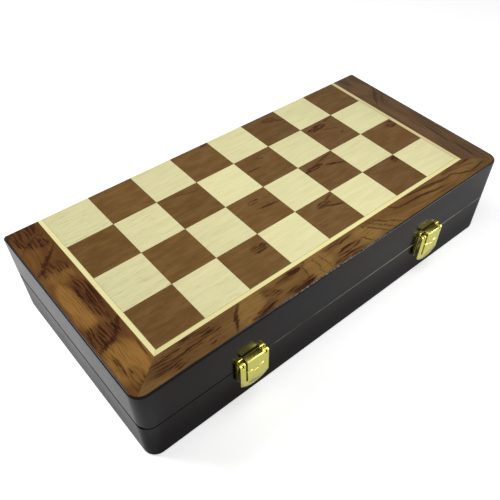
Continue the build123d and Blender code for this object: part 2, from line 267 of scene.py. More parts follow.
# How many patches of wear and how many scratches there are to a metre.
PATCHES = 220.0
SCRATCHES_ALONG = 60.0
SCRATCHES_ACROSS = 2600.0
PICK_SEED = 3.0


class Effects:
    """The shader effects that several finishes share, each built once as a group."""

    def __init__(self) -> None:
        """Builds every group."""
        self.square = self.board_square()
        self.grain = self.long_grain()
        self.fibres = self.bent_fibres()
        self.mark = self.veneer_mark()
        self.wear = self.edge_wear()
        self.handling = self.handling_marks()

    def board_square(self) -> Tree:
        """Finds the board's square at a point.

        Returns:
            The group. It gives Column, counted from the middle; Pick, a fixed random
            value of the square; and Joint, 1 on the glued joint round it.
        """
        inputs = {"Square": 30 * MM, "Hinge Edge": 70 * MM, "Joint Width": 0.01}
        outputs = {"Column": "Float", "Pick": "Float", "Joint": "Float"}
        n, given, sink = open_group("Board square", inputs, outputs)
        x, y, _ = n.split(n.object_place())
        across = n.over(x, given["Square"])
        back = n.over(n.minus(given["Hinge Edge"], y), given["Square"])
        column, row = n.math("FLOOR", across), n.math("FLOOR", back)
        inside = n.minus(across, column), n.minus(back, row)
        edges = [n.math("MINIMUM", share, n.minus(1.0, share)) for share in inside]
        inner = n.over(n.math("MINIMUM", *edges), given["Joint Width"])
        pick = n.add("ShaderNodeTexWhiteNoise", {"Vector": n.join(column, row, PICK_SEED)})
        n.put(sink, Column=column, Pick=pick.outputs["Value"],
              Joint=n.math("SUBTRACT", 1.0, inner, clamp=True))
        return n.tree

    def long_grain(self) -> Tree:
        """Draws straight grain along the vector's X.

        Returns:
            The group. It gives Band, broad soft bands; Streak, finer streaks; and
            Pore, fine dark lines; each from 0 to 1.
        """
        inputs = {"Vector": "Vector", "Seed": 0.0, "Length": 50 * MM, "Width": 1 * MM}
        outputs = {"Band": "Float", "Streak": "Float", "Pore": "Float"}
        n, given, sink = open_group("Long grain", inputs, outputs)
        x, y, z = n.split(given["Vector"])
        along = n.over(x, given["Length"])
        across = n.over(n.plus(y, z), given["Width"])
        for name, stretch, narrow, detail in (("Band", 0.4, 0.14, 2.0), ("Streak", 1.0, 0.45, 3.0),
                                              ("Pore", 3.0, 1.6, 2.0)):
            spot = n.join(n.times(along, stretch), n.times(across, narrow))
            n.feed(sink.inputs[name], n.cloud(spot, given["Seed"], detail))
        return n.tree

    def bent_fibres(self) -> Tree:
        """Bends a place as figured wood bends; the grain runs along the vector's X.

        Returns:
            The group. It gives Vector, the bent place, on which soft shapes get wavy
            sides and ends torn along the grain; Stroke, short strokes; Hue, slow
            changes; and Grain, fine lines.
        """
        inputs = {"Vector": "Vector", "Seed": 0.0, "Swirl": 4 * MM, "Tear": 10 * MM,
                  "Stroke Length": 6 * MM, "Stroke Width": 0.7 * MM}
        outputs = {"Vector": "Vector", "Stroke": "Float", "Hue": "Float", "Grain": "Float"}
        n, given, sink = open_group("Bent fibres", inputs, outputs)
        x, y, _ = n.split(given["Vector"])

        def stretched(across: Socket, length: float | Socket, width: float | Socket, offset: float,
                      detail: float, rough: float = 0.5) -> Socket:
            """Returns noise of a length and a width, its seed moved on by an offset."""
            spot = n.join(n.over(x, length), n.over(across, width))
            return n.cloud(spot, n.plus(given["Seed"], offset), detail, rough)

        sway = n.minus(stretched(y, 16 * MM, 9 * MM, 1.0, 2.0), 0.5)
        bent = n.math("MULTIPLY_ADD", sway, given["Swirl"], y)
        torn = n.minus(stretched(bent, 30 * MM, 0.6 * MM, 2.0, 2.0), 0.5)
        pull = n.minus(stretched(y, 10 * MM, 4 * MM, 3.0, 1.0), 0.5)
        moved = n.plus(n.math("MULTIPLY_ADD", torn, given["Tear"], x), n.times(pull, given["Swirl"]))
        length, width = given["Stroke Length"], given["Stroke Width"]
        n.put(sink, Vector=n.join(moved, bent), Stroke=stretched(bent, length, width, 5.0, 3.0, 0.6),
              Hue=n.span(stretched(bent, 30 * MM, 8 * MM, 11.0, 2.0), 0.35, 0.65),
              Grain=stretched(bent, length, n.times(width, 0.55), 7.0, 2.0))
        return n.tree

    def veneer_mark(self) -> Tree:
        """Draws a soft oval on the veneer.

        Returns:
            The group. It gives Mask, 1 inside the oval.
        """
        inputs = {"Vector": "Vector", "Place": "Vector", "Size": "Vector", "Turn": 0.0}
        n, given, sink = open_group("Veneer mark", inputs, {"Mask": "Float"})
        oval = {"Vector": given["Vector"], "Location": given["Place"], "Scale": given["Size"],
                "Rotation": n.join(0.0, 0.0, given["Turn"])}
        spot = n.one("ShaderNodeMapping", oval, vector_type="TEXTURE")
        reach = n.add("ShaderNodeVectorMath", {0: spot}, operation="LENGTH").outputs["Value"]
        n.put(sink, Mask=n.span(reach, 1.25, 0.7))
        return n.tree

    def edge_wear(self) -> Tree:
        """Finds edges and breaks them up.

        Returns:
            The group. It gives Worn, every edge, and Crest, only edges that run
            level; each from 0 to 1.
        """
        inputs = {"Radius": 0.5 * MM, "Patchiness": 0.5}
        n, given, sink = open_group("Edge wear", inputs, {"Worn": "Float", "Crest": "Float"})
        rounded = n.one("ShaderNodeBevel", {"Radius": given["Radius"]}, samples=6)
        plain = n.add("ShaderNodeNewGeometry").outputs["Normal"]
        meet = n.add("ShaderNodeVectorMath", {0: rounded, 1: plain}, operation="DOT_PRODUCT").outputs["Value"]
        bare = n.span(n.cloud(n.object_place(), 2.0, 3.0, scale=PATCHES), 0.38, 0.62)
        kept = n.minus(1.0, n.times(given["Patchiness"], n.minus(1.0, bare)))
        rise = n.math("ABSOLUTE", n.split(n.vector("SUBTRACT", rounded, plain))[2])
        n.put(sink, Worn=n.times(n.span(meet, 0.98, 0.8), kept), Crest=n.times(n.span(rise, 0.15, 0.5), kept))
        return n.tree

    def handling_marks(self) -> Tree:
        """Draws what hands leave behind.

        Returns:
            The group. It gives Smudge, soft, and Scratch, fine; each from 0 to 1.
        """
        inputs = {"Smudge Size": 30 * MM, "Seed": 0.0}
        n, given, sink = open_group("Handling marks", inputs, {"Smudge": "Float", "Scratch": "Float"})
        place, size = n.object_place(), given["Smudge Size"]
        smudge = n.cloud(n.vector("DIVIDE", place, n.join(size, size, size)), given["Seed"], 4.0, 0.6)
        x, y, z = n.split(place)
        slanted = n.plus(n.plus(y, z), n.times(x, 0.35))
        stretched = n.join(n.times(x, SCRATCHES_ALONG), n.times(slanted, SCRATCHES_ACROSS))
        scratch = n.span(n.cloud(stretched, given["Seed"], 1.0), 0.68, 0.76)
        n.put(sink, Smudge=smudge, Scratch=scratch)
        return n.tree


# ---- finishes ----------------------------------------------------------------

VENEER_SHINE = 0.03
# Squares from the board's middle to its end, the share of a square that its glued joint
# takes, and how far apart the squares' seeds may lie.
HALF_BOARD = 4
JOINT_SHARE = 0.006
SEEDS = 40.0


class GrainAxis(Enum):
    """The way a board's grain runs."""

    ALONG = "along the box"
    ACROSS = "across the box"


def start_material(name: str) -> tuple[Material, Nodes, Node]:
    """Makes a material with an empty tree but for its shader and output.

    Args:
        name: the material's name.

    Returns:
        The material, its Nodes and its Principled BSDF.
    """
    material = bpy.data.materials.new(name)
    nodes = fresh_nodes(material)
    shader = nodes.add("ShaderNodeBsdfPrincipled")
    nodes.add("ShaderNodeOutputMaterial", {"Surface": shader.outputs[0]})
    return material, nodes, shader


@dataclass(frozen=True)
class Lacquer:
    """Black lacquer brushed on wood, with the grain just showing through: glossy, but its shine fades toward
    the foot as painted shade of the floor it mirrors.

    Attributes:
        rim: how far from the foot, the seam and the top the level edges are worn through.
        lip: half the width of the painted highlight below the seam, a pale line on the lower rim's edge.
        lip_from: the X where that line starts, at the left latch.
        worn_middle: the X of the middle of the stretch of top round with pale marks, partly wear from hands
            and partly a painted highlight.
        end: the X past which a surface belongs to the left end wall.
        held_dull: how much shine is taken from that wall below the seam, as painted shade of the darker floor
            it mirrors.
        seam: half the width of the dark line along its seam, painted shade of the seam's gap made by taking
            the shine away.
    """

    name: str = "Black lacquer"
    paint: Colour = tone(16, 9, 8)
    rubbed: Colour = tone(150, 142, 130)
    gloss: float = 0.16
    foot_shine: float = 0.04
    shine: float = 0.14
    grain_depth: float = 0.01 * MM
    rim: float = 2.5 * MM
    lip: float = 0.4 * MM
    lip_from: float = -80.0 * MM
    worn_middle: float = -12.5 * MM
    end: float = -146.0 * MM
    held_dull: float = 0.42
    seam: float = 1.8 * MM

    def material(self, effects: Effects, half_height: float) -> Material:
        """Builds the shader.

        Args:
            effects: the shared groups.
            half_height: one half's height, as the edges at its top and bottom are worn through.

        Returns:
            The material.
        """
        material, n, shader = start_material(self.name)
        place = n.object_place()
        x, _, height = n.split(place)
        grain = n.use(effects.grain, Vector=place, Seed=4.0, Length=60 * MM, Width=1.6 * MM)
        marks = n.use(effects.handling, Smudge_Size=35 * MM, Seed=1.0)
        crest = n.use(effects.wear, Radius=0.5 * MM, Patchiness=0.9)["Crest"]
        # Pale lacquer: worn-through edges are wear, the line below the seam is a painted highlight, and the
        # top round's pale marks are both.
        rubbed = self.rubbed_share(n, crest, x, height, half_height)
        rough = n.span(marks["Smudge"], 0.3, 0.7, self.gloss - 0.03, self.gloss + 0.05)
        # Painted shade: shine fades toward the foot, so the lower walls mirror less of the floor and look
        # darker there.
        shine = n.span(height, 0.3 * half_height, 1.5 * half_height, self.foot_shine, self.shine)
        dull = self.dull_share(n, x, height, half_height)
        n.put(shader, Base_Color=n.mix(rubbed, self.paint, self.rubbed),
              Roughness=n.plus(rough, n.times(marks["Scratch"], 0.08)),
              Specular_IOR_Level=n.times(shine, n.minus(1.0, dull)),
              Normal=n.bump(grain["Streak"], self.grain_depth))
        return material

    def rubbed_share(self, n: Nodes, crest: Socket, x: Socket, height: Socket, half_height: float) -> Socket:
        """Finds where the lacquer is painted pale: edges worn through, a painted highlight below the seam,
        and marks on the top round that are partly wear and partly a painted highlight.

        Args:
            n: the material's nodes.
            crest: 1 on edges that run level.
            x: the place along the box.
            height: the place up the box.
            half_height: one half's height.

        Returns:
            1 where it is painted pale.
        """
        from_rim = n.math("PINGPONG", height, half_height / 2)
        edges = n.times(crest, n.span(from_rim, self.rim, 0.6 * self.rim, 0.0, 0.6))
        # From the left latch on, a pale line below the seam is a painted highlight on the lower rim's edge.
        from_lip = n.gap(height, half_height - self.lip)
        patchy = n.span(self.spots(n, 20 * MM, 20 * MM, 7.0), 0.3, 0.6, 0.25, 0.8)
        lip = n.times(n.times(n.span(from_lip, self.lip, 0.5 * self.lip), patchy),
                      n.span(x, self.lip_from, self.lip_from + 30 * MM))
        # The middle of the round at the top gets pale marks: partly wear from hands, partly a painted
        # highlight of the rounded edge.
        top_wear_and_highlight = n.times(n.span(self.spots(n, 2.2 * MM, 4 * MM, 2.0), 0.35, 0.6),
                        n.span(n.gap(x, self.worn_middle), 60 * MM, 20 * MM))
        top = 2 * half_height
        top_wear_and_highlight = n.times(top_wear_and_highlight, n.span(height, top - 0.5 * MM, top - 0.2 * MM, 0.0, 0.5))
        return n.most(edges, n.most(lip, top_wear_and_highlight))

    @staticmethod
    def spots(n: Nodes, length: float, width: float, seed: float) -> Socket:
        """Returns noise with spots of a length along the box and a width across it."""
        return n.cloud(n.vector("DIVIDE", n.object_place(), (length, width, 1.0)), seed, 2.0)

    def dull_share(self, n: Nodes, x: Socket, height: Socket, half_height: float) -> Socket:
        """Finds how much shine is taken from the left end wall below its seam and along it, as painted shade.

        Args:
            n: the material's nodes.
            x: the place along the box.
            height: the place up the box.
            half_height: one half's height.

        Returns:
            1 where all shine is taken away.
        """
        # Painted shade: the wall mirrors less of the floor below the seam, and a dark line marks the seam's
        # gap.
        below_seam_shade = n.span(height, 1.04 * half_height, 0.96 * half_height, 0.0, self.held_dull)
        dark = n.most(below_seam_shade, n.span(n.gap(height, half_height), self.seam, 1 * MM))
        return n.times(n.span(x, self.end, self.end - 3 * MM), dark)


@dataclass(frozen=True)
class PaleVeneer:
    """The light squares: pale yellow maple with a fine straight grain."""

    name: str = "Maple veneer"
    slot: str = "maple"
    wood: Colour = tone(235, 229, 177)
    shade: Colour = tone(222, 216, 164)
    fleck: Colour = tone(176, 172, 124)
    glue: Colour = tone(120, 98, 62)

    def material(self, effects: Effects, square: float, hinge_edge: float) -> Material:
        """Builds the shader.

        Args:
            effects: the shared groups.
            square: one square's side.
            hinge_edge: the Y of the board's hinge edge.

        Returns:
            The material.
        """
        material, n, shader = start_material(self.name)
        cell = n.use(effects.square, Square=square, Hinge_Edge=hinge_edge, Joint_Width=JOINT_SHARE)
        seed = n.times(cell["Pick"], SEEDS)
        grain = n.use(effects.grain, Vector=n.object_place(), Seed=seed, Length=11 * MM, Width=0.42 * MM)
        lively = n.span(cell["Column"], -HALF_BOARD, -1, 1.0, 0.4)
        colour = n.mix(n.span(grain["Band"], 0.3, 0.7, 0.0, 0.6), self.wood, self.shade)
        streak = n.times(n.span(grain["Streak"], 0.5, 0.75, 0.0, 0.45), lively)
        colour = n.mix(streak, colour, self.fleck)
        pore = n.times(n.span(grain["Pore"], 0.55, 0.75, 0.0, 0.35), lively)
        colour = n.mix(pore, colour, self.fleck)
        tint = n.span(cell["Pick"], 0.0, 1.0, 0.96, 1.03)
        colour = n.shaded(colour, tint)
        colour = n.mix(n.times(cell["Joint"], 0.5), colour, self.glue)
        n.put(shader, Base_Color=colour, Roughness=n.span(grain["Streak"], 0.2, 0.8, 0.42, 0.55),
              Specular_IOR_Level=VENEER_SHINE, Normal=n.bump(grain["Pore"], 0.02 * MM))
        return material


class MarkKind(Enum):
    """What a mark in the walnut or the rosewood is."""

    PATCH = "a calm honey coloured patch"
    CROWD = "a crowd of short dark strokes"
    LINE = "a dark line"


@dataclass(frozen=True)
class Mark:
    """One oval mark: its middle and half its size along and across the grain, in millimetres."""

    kind: MarkKind
    x: float
    y: float
    length: float
    width: float
    turn: float = 0.0
    depth: float = 1.0


PATCH, CROWD, LINE = MarkKind


def table(*rows: tuple[MarkKind | float, ...]) -> tuple[Mark, ...]:
    """Makes a table of marks from rows of a mark's values."""
    return tuple(Mark(*row) for row in rows)


def marked(n: Nodes, effects: Effects, vector: Socket, marks: tuple[Mark, ...]) -> list[Socket]:
    """Lays a table of marks on veneer.

    Args:
        n: the material's nodes.
        effects: the shared groups.
        vector: the place, bent as the fibres are.
        marks: the table.

    Returns:
        The masks of the patches, of the crowds and of the lines.
    """
    masks: dict[MarkKind, float | Socket] = dict.fromkeys(MarkKind, 0.0)
    for mark in marks:
        oval = n.use(effects.mark, Vector=vector, Turn=math.radians(mark.turn),
                     Place=(mark.x * MM, mark.y * MM, 0.0),
                     Size=(mark.length * MM, mark.width * MM, 1.0))["Mask"]
        masks[mark.kind] = n.most(masks[mark.kind], n.times(oval, mark.depth))
    return [masks[kind] for kind in MarkKind]


@dataclass(frozen=True)
class DarkVeneer:
    """The dark squares: brown walnut with reddish streaks along the grain, and a painted sheen that makes
    them greyer toward the right.
    """

    name: str = "Walnut veneer"
    slot: str = "walnut"
    wood: Colour = tone(125, 95, 54)
    shade: Colour = tone(107, 77, 41)
    grey: Colour = tone(115, 90, 63)
    streak: Colour = tone(60, 27, 20)
    glue: Colour = tone(52, 34, 20)
    marks: tuple[Mark, ...] = table(
        (CROWD, -3.3, 70.5, 5, 1.2), (CROWD, 52, 65.5, 7, 3, -8), (LINE, 58.5, 61, 4.5, 0.8, -30, 0.8),
        (LINE, 115, 61.5, 11, 0.6, -10, 0.3), (LINE, -43, 36.5, 10, 0.7, -15, 0.4),
        (CROWD, 17.5, 35, 4, 2, 0, 0.6), (LINE, 6.7, 27.3, 6.5, 0.7, -4, 0.8),
        (CROWD, 6, 20, 5.5, 3, 0, 0.5), (CROWD, 73.5, 35.8, 10, 3.2),
        (LINE, 80, 29.5, 7, 0.6, -20, 0.6), (LINE, 88.5, 39.5, 5, 0.7, 12, 0.7),
        (CROWD, 86, 20.5, 2.5, 1.2, 0, 0.8), (CROWD, -15, 2.6, 5, 2.6, 0, 0.9),
        (LINE, -8, -6, 8, 0.8, -8), (CROWD, -13, -5, 8, 2, 0, 0.6), (CROWD, 39.5, 3, 9, 2.8),
        (LINE, 53, 7, 8, 0.8, 10, 0.7), (LINE, 55, -2, 8, 1, -20), (CROWD, 121, 5, 6, 4.5),
        (CROWD, -53, -25, 4, 1.2, 0, 0.6), (CROWD, -38, -31, 6.5, 4), (CROWD, 19.5, -28, 7, 3.2),
        (LINE, 25, -25, 5.5, 0.8, 25, 0.8), (LINE, 25.5, -33, 6.5, 0.9, -24),
        (CROWD, 5.5, -41, 5, 2, 0, 0.5), (CROWD, 91, -26, 4, 4.5), (LINE, 80, -32, 11, 0.6, -6, 0.4),
    )

    def material(self, effects: Effects, square: float, hinge_edge: float) -> Material:
        """Builds the shader.

        Args:
            effects: the shared groups.
            square: one square's side.
            hinge_edge: the Y of the board's hinge edge.

        Returns:
            The material.
        """
        material, n, shader = start_material(self.name)
        cell = n.use(effects.square, Square=square, Hinge_Edge=hinge_edge, Joint_Width=JOINT_SHARE)
        seed = n.times(cell["Pick"], SEEDS)
        place = n.object_place()
        grain = n.use(effects.grain, Vector=place, Seed=seed, Length=14 * MM, Width=0.6 * MM)
        cloud = n.cloud(n.vector("DIVIDE", place, (14 * MM, 5 * MM, 1.0)), seed, 2.0)
        # Painted sheen: the squares turn greyer column by column toward the right, standing in for gloss on
        # that side.
        colour = n.mix(n.span(cell["Column"], -HALF_BOARD, HALF_BOARD - 1, 0.0, 0.6), self.wood, self.grey)
        colour = n.mix(n.span(cloud, 0.35, 0.68, 0.0, 0.8), colour, self.shade)
        colour = n.mix(n.span(grain["Streak"], 0.42, 0.68, 0.0, 0.6), colour, self.shade)
        fibres = n.use(effects.fibres, Vector=place, Seed=9.4, Swirl=1.2 * MM, Tear=5 * MM,
                       Stroke_Length=6 * MM, Stroke_Width=0.6 * MM)
        _, crowd, line = marked(n, effects, fibres["Vector"], self.marks)
        level = n.math("MULTIPLY_ADD", crowd, -0.25, 0.7)
        stroke = n.span(n.minus(fibres["Stroke"], level), 0.0, 0.07)
        line = n.times(line, n.span(fibres["Grain"], 0.25, 0.55, 0.5, 1.0))
        colour = n.mix(n.times(crowd, 0.45), colour, self.shade)
        colour = n.mix(n.times(n.most(stroke, line), 0.85), colour, self.streak)
        colour = n.mix(n.span(grain["Pore"], 0.56, 0.72, 0.0, 0.35), colour, self.streak)
        tint = n.span(cell["Pick"], 0.0, 1.0, 0.9, 1.06)
        colour = n.shaded(colour, tint)
        colour = n.mix(n.times(cell["Joint"], 0.5), colour, self.glue)
        n.put(shader, Base_Color=colour, Roughness=n.span(grain["Streak"], 0.2, 0.8, 0.42, 0.58),
              Specular_IOR_Level=VENEER_SHINE, Normal=n.bump(grain["Pore"], 0.03 * MM))
        return material


@dataclass(frozen=True)
class StripVeneer:
    """The inlay strips: plain yellow boxwood, each side cut from a piece of its own tint."""

    name: str = "Boxwood strip"
    front: Colour = tone(240, 232, 166)
    left: Colour = tone(250, 242, 178)
    right: Colour = tone(226, 208, 154)
    glue: Colour = tone(150, 128, 84)

    def material(self, effects: Effects, corner: tuple[float, float], width: float) -> Material:
        """Builds the shader.

        Args:
            effects: the shared groups.
            corner: the X and Y of the strips' mitred outer corner.
            width: one strip's width.

        Returns:
            The material.
        """
        material, n, shader = start_material(self.name)
        place = n.object_place()
        x, y, _ = n.split(place)
        past_end = n.minus(n.math("ABSOLUTE", x), corner[0])
        past_front = n.minus(corner[1], y)
        side = n.math("GREATER_THAN", past_end, past_front)
        flank = n.mix(n.math("GREATER_THAN", x, 0.0), self.left, self.right)
        colour = n.mix(side, self.front, flank)
        along = n.use(effects.grain, Vector=place, Seed=9.0, Length=30 * MM, Width=1.2 * MM)
        colour = n.mix(n.span(along["Streak"], 0.5, 0.8, 0.0, 0.25), colour, self.right)
        mitre = n.span(n.gap(past_end, past_front), 0.3 * MM, 0.1 * MM, 0.0, 0.4)
        inner = n.plus(n.most(past_end, past_front), width)
        joint = n.most(mitre, n.span(inner, 0.5 * MM, 0.2 * MM, 0.0, 0.35))
        n.put(shader, Base_Color=n.mix(joint, colour, self.glue),
              Roughness=n.span(along["Band"], 0.2, 0.8, 0.4, 0.52),
              Specular_IOR_Level=VENEER_SHINE, Normal=n.bump(along["Pore"], 0.02 * MM))
        return material


@dataclass(frozen=True)
class FiguredVeneer:
    """The borders: rosewood with honey patches, crowds of dark strokes and dark lines.

    Attributes:
        swirl: how far the fibres sway.
        tear: how far a mark's ends are torn along the grain.
        stroke: the length and width of a dark stroke.
    """

    name: str
    axis: GrainAxis
    seed: float
    light: Colour
    wood: Colour
    shade: Colour
    marks: tuple[Mark, ...]
    streak: Colour = tone(52, 22, 14)
    swirl: float = 5 * MM
    tear: float = 12 * MM
    stroke: tuple[float, float] = (9 * MM, 0.7 * MM)

    def material(self, effects: Effects) -> Material:
        """Builds the shader.

        Args:
            effects: the shared groups.

        Returns:
            The material.
        """
        material, n, shader = start_material(self.name)
        place = n.object_place()
        if self.axis is GrainAxis.ACROSS:
            x, y, z = n.split(place)
            place = n.join(y, x, z)
        fibres = n.use(effects.fibres, Vector=place, Seed=self.seed, Swirl=self.swirl, Tear=self.tear,
                       Stroke_Length=self.stroke[0], Stroke_Width=self.stroke[1])
        patch, crowd, line = marked(n, effects, fibres["Vector"], self.marks)
        colour = n.mix(n.times(fibres["Hue"], 0.6), self.wood, self.shade)
        colour = n.mix(patch, colour, self.light)
        colour = n.mix(n.span(fibres["Grain"], 0.42, 0.66, 0.0, 0.5), colour, self.shade)
        colour = n.mix(n.times(crowd, 0.5), colour, self.shade)
        level = n.math("MULTIPLY_ADD", crowd, -0.13, 0.625)
        stroke = n.span(n.minus(fibres["Stroke"], level), 0.0, 0.035)
        colour = n.mix(n.times(stroke, n.span(crowd, 0.0, 1.0, 0.35, 0.9)), colour, self.streak)
        line = n.times(line, n.span(fibres["Grain"], 0.35, 0.6, 0.6, 1.0))
        n.put(shader, Base_Color=n.mix(line, colour, self.streak),
              Roughness=n.span(fibres["Grain"], 0.2, 0.8, 0.38, 0.5),
              Specular_IOR_Level=VENEER_SHINE, Normal=n.bump(fibres["Stroke"], -0.02 * MM))
        return material


@dataclass(frozen=True)
class FeltCloth:
    """Dark green felt: matted fibres, no weave."""

    name: str = "Green felt"
    slot: str = "felt"
    cloth: Colour = tone(34, 84, 52)
    tuft: Colour = tone(58, 112, 76)

    def material(self) -> Material:
        """Builds the shader.

        Returns:
            The material.
        """
        material, n, shader = start_material(self.name)
        place = n.object_place()
        mat = n.cloud(place, 1.0, 5.0, 0.7, warp=1.2, scale=900.0)
        pile = n.cloud(place, 5.0, 2.0, scale=60.0)
        colour = n.mix(n.span(mat, 0.35, 0.68), self.cloth, self.tuft)
        light = n.span(pile, 0.25, 0.75, 0.85, 1.1)
        n.put(shader, Base_Color=n.shaded(colour, light), Roughness=0.95, Specular_IOR_Level=0.1,
              Sheen_Weight=0.25, Sheen_Roughness=0.5, Normal=n.bump(mat, 0.3 * MM))
        return material


@dataclass(frozen=True)
class Metal:
    """Metal with faint handling marks and brighter edges.

    Attributes:
        gloss: how rough it is where it is clean.
        marks: how much rougher it is where it is smudged.
    """

    name: str
    slot: str
    colour: Colour
    tarnish: Colour
    gloss: float
    marks: float = 0.10

    def material(self, effects: Effects) -> Material:
        """Builds the shader.

        Args:
            effects: the shared groups.

        Returns:
            The material.
        """
        material, n, shader = start_material(self.name)
        marks = n.use(effects.handling, Smudge_Size=6 * MM, Seed=3.0)
        worn = n.use(effects.wear, Radius=0.3 * MM, Patchiness=0.3)["Worn"]
        stained = n.mix(n.span(marks["Smudge"], 0.4, 0.75, 0.0, 0.35), self.colour, self.tarnish)
        rough = n.span(marks["Smudge"], 0.3, 0.75, self.gloss, self.gloss + self.marks)
        n.put(shader, Base_Color=n.mix(n.times(worn, 0.6), stained, self.colour), Metallic=1.0,
              Roughness=n.plus(rough, n.times(marks["Scratch"], 0.1)),
              Normal=n.bump(marks["Smudge"], 0.003 * MM))
        return material


LEFT_BORDER = FiguredVeneer(
    "Rosewood border left", GrainAxis.ACROSS, 2.3,
    light=tone(160, 117, 59), wood=tone(126, 86, 43), shade=tone(88, 54, 29),
    tear=7 * MM, stroke=(11 * MM, 0.8 * MM), marks=table(
        (PATCH, -2, -142.5, 21, 5.5), (PATCH, -50, -139, 15, 11), (PATCH, 24, -138, 7, 8, 0, 0.5),
        (CROWD, 68, -140, 7, 12), (CROWD, 57, -139, 5, 12, 30), (LINE, 55.5, -143, 7, 0.7, 50, 0.7),
        (LINE, 61, -134, 6, 0.7, 80, 0.7), (LINE, 39, -138.5, 13.5, 1.3, 45, 0.9),
        (CROWD, 31, -137, 6, 10, 0, 0.8), (CROWD, 0, -133.5, 20, 5.5),
        (LINE, 1.5, -129.6, 11, 1.3, 0, 0.8), (LINE, -8, -134, 14, 0.7, -6, 0.6),
        (CROWD, -27, -141, 9, 10), (LINE, -26, -132, 6, 1.2, 32, 0.9),
        (LINE, -34, -141.5, 7.5, 1.5, 67, 0.9), (CROWD, -50, -144.5, 9, 2.2, 0, 0.8),
        (LINE, -47, -129.5, 6.5, 0.8, 0, 0.7), (CROWD, -62, -141, 9, 5, 0, 0.7),
    ))
RIGHT_BORDER = FiguredVeneer(
    "Rosewood border right", GrainAxis.ACROSS, 8.1,
    light=tone(122, 94, 64), wood=tone(108, 84, 58), shade=tone(86, 64, 46), streak=tone(70, 44, 34),
    swirl=3 * MM, tear=4 * MM, stroke=(24 * MM, 0.7 * MM), marks=table(
        (PATCH, 52, 138, 8, 9, 0, 0.6), (PATCH, -5, 134, 22, 4, 0, 0.5), (CROWD, 67, 135, 6, 4, 0, 0.9),
        (CROWD, 66, 145, 5, 3, 0, 0.6), (LINE, 40.5, 141.5, 10, 0.8, 43, 0.8),
        (LINE, 35.5, 138.5, 10, 0.9, 43, 0.8), (LINE, 33, 143, 8, 0.7, 40, 0.6),
        (LINE, -12.5, 143, 16, 0.8, 0, 0.6), (LINE, -25, 139, 13.5, 1.0, 2, 0.8),
        (LINE, -11.5, 146.3, 20, 1.0, 0, 0.6), (LINE, -8.5, 136.5, 10, 0.6, 0, 0.6),
        (LINE, -49, 139.7, 11, 1.0, 3, 0.8), (LINE, -55, 144, 12, 0.8, 0, 0.6),
        (CROWD, -50.5, 133, 10, 3.5, 0, 0.6),
    ))
FRONT_BORDER = FiguredVeneer(
    "Rosewood border front", GrainAxis.ALONG, 5.6,
    light=tone(146, 113, 62), wood=tone(131, 99, 56), shade=tone(92, 62, 34),
    swirl=4 * MM, tear=6 * MM, stroke=(12 * MM, 0.7 * MM), marks=table(
        (CROWD, -112, -63, 25, 8, 0, 0.8), (LINE, -123, -60, 9, 0.9, 3, 0.5),
        (LINE, -123, -64, 10, 0.9, 3, 0.5), (LINE, -97, -61, 7, 1.0, 6, 0.4),
        (LINE, -80.5, -63.5, 9.5, 1.2, 52, 0.95), (PATCH, -70.5, -63, 12, 8, 30, 0.8),
        (CROWD, -65, -69.3, 11, 2.8, 12), (LINE, -65, -69.8, 8, 1.2, 12, 0.9),
        (CROWD, -55, -61.5, 7, 3.0, -35), (CROWD, -39.5, -58.5, 12, 3.0, 5),
        (CROWD, -37.5, -69, 11, 3.2, 5), (LINE, -37.5, -70, 8, 1.2, 5, 0.9),
        (PATCH, -19, -64, 12, 9, 60, 0.7), (LINE, -28.5, -61, 6.5, 0.6, 65, 0.7),
        (LINE, -20.5, -63.5, 8, 0.5, 82, 0.7), (LINE, -14.8, -64, 7, 0.5, 95, 0.6),
        (CROWD, 1, -58, 13, 2.2), (CROWD, 4, -65.5, 11, 2.2), (CROWD, 1, -70, 15, 2.0),
        (PATCH, 21, -64, 9, 7, -45, 0.7), (LINE, 28, -63.8, 10, 0.6, -49, 0.8),
        (LINE, 33.7, -64, 10.5, 0.6, -48, 0.7), (LINE, 39.2, -64.2, 11, 0.7, -42, 0.7),
        (LINE, 18, -66.7, 4.5, 0.6, -50, 0.8), (LINE, 52, -58.8, 5, 0.6, -39, 0.8),
        (LINE, 77, -63.2, 26, 0.9, -7, 0.85), (LINE, 88, -59.4, 23, 1.2, -8, 0.8),
        (LINE, 80, -68, 20, 0.6, -4, 0.5), (LINE, 116.5, -65.2, 11, 0.9, -22, 0.8),
        (LINE, 131, -67.3, 10, 0.9, 4, 0.7), (LINE, 120, -61, 14, 0.6, -10, 0.5),
        (CROWD, 119, -58, 18, 2.0, 0, 0.8),
    ))
BRASS = Metal("Satin brass", "brass", (0.98, 0.92, 0.22, 1.0), (0.90, 0.82, 0.17, 1.0), 0.22, 0.04)
# Near black brass: painted shade for faces behind the lever and the link.
SHADED_BRASS = Metal("Brass in painted shade", "brass", (0.14, 0.11, 0.025, 1.0), (0.09, 0.07, 0.02, 1.0), 0.5, 0.1)
STEEL = Metal("Drawn steel", "steel", (0.62, 0.61, 0.59, 1.0), (0.42, 0.41, 0.40, 1.0), 0.3)


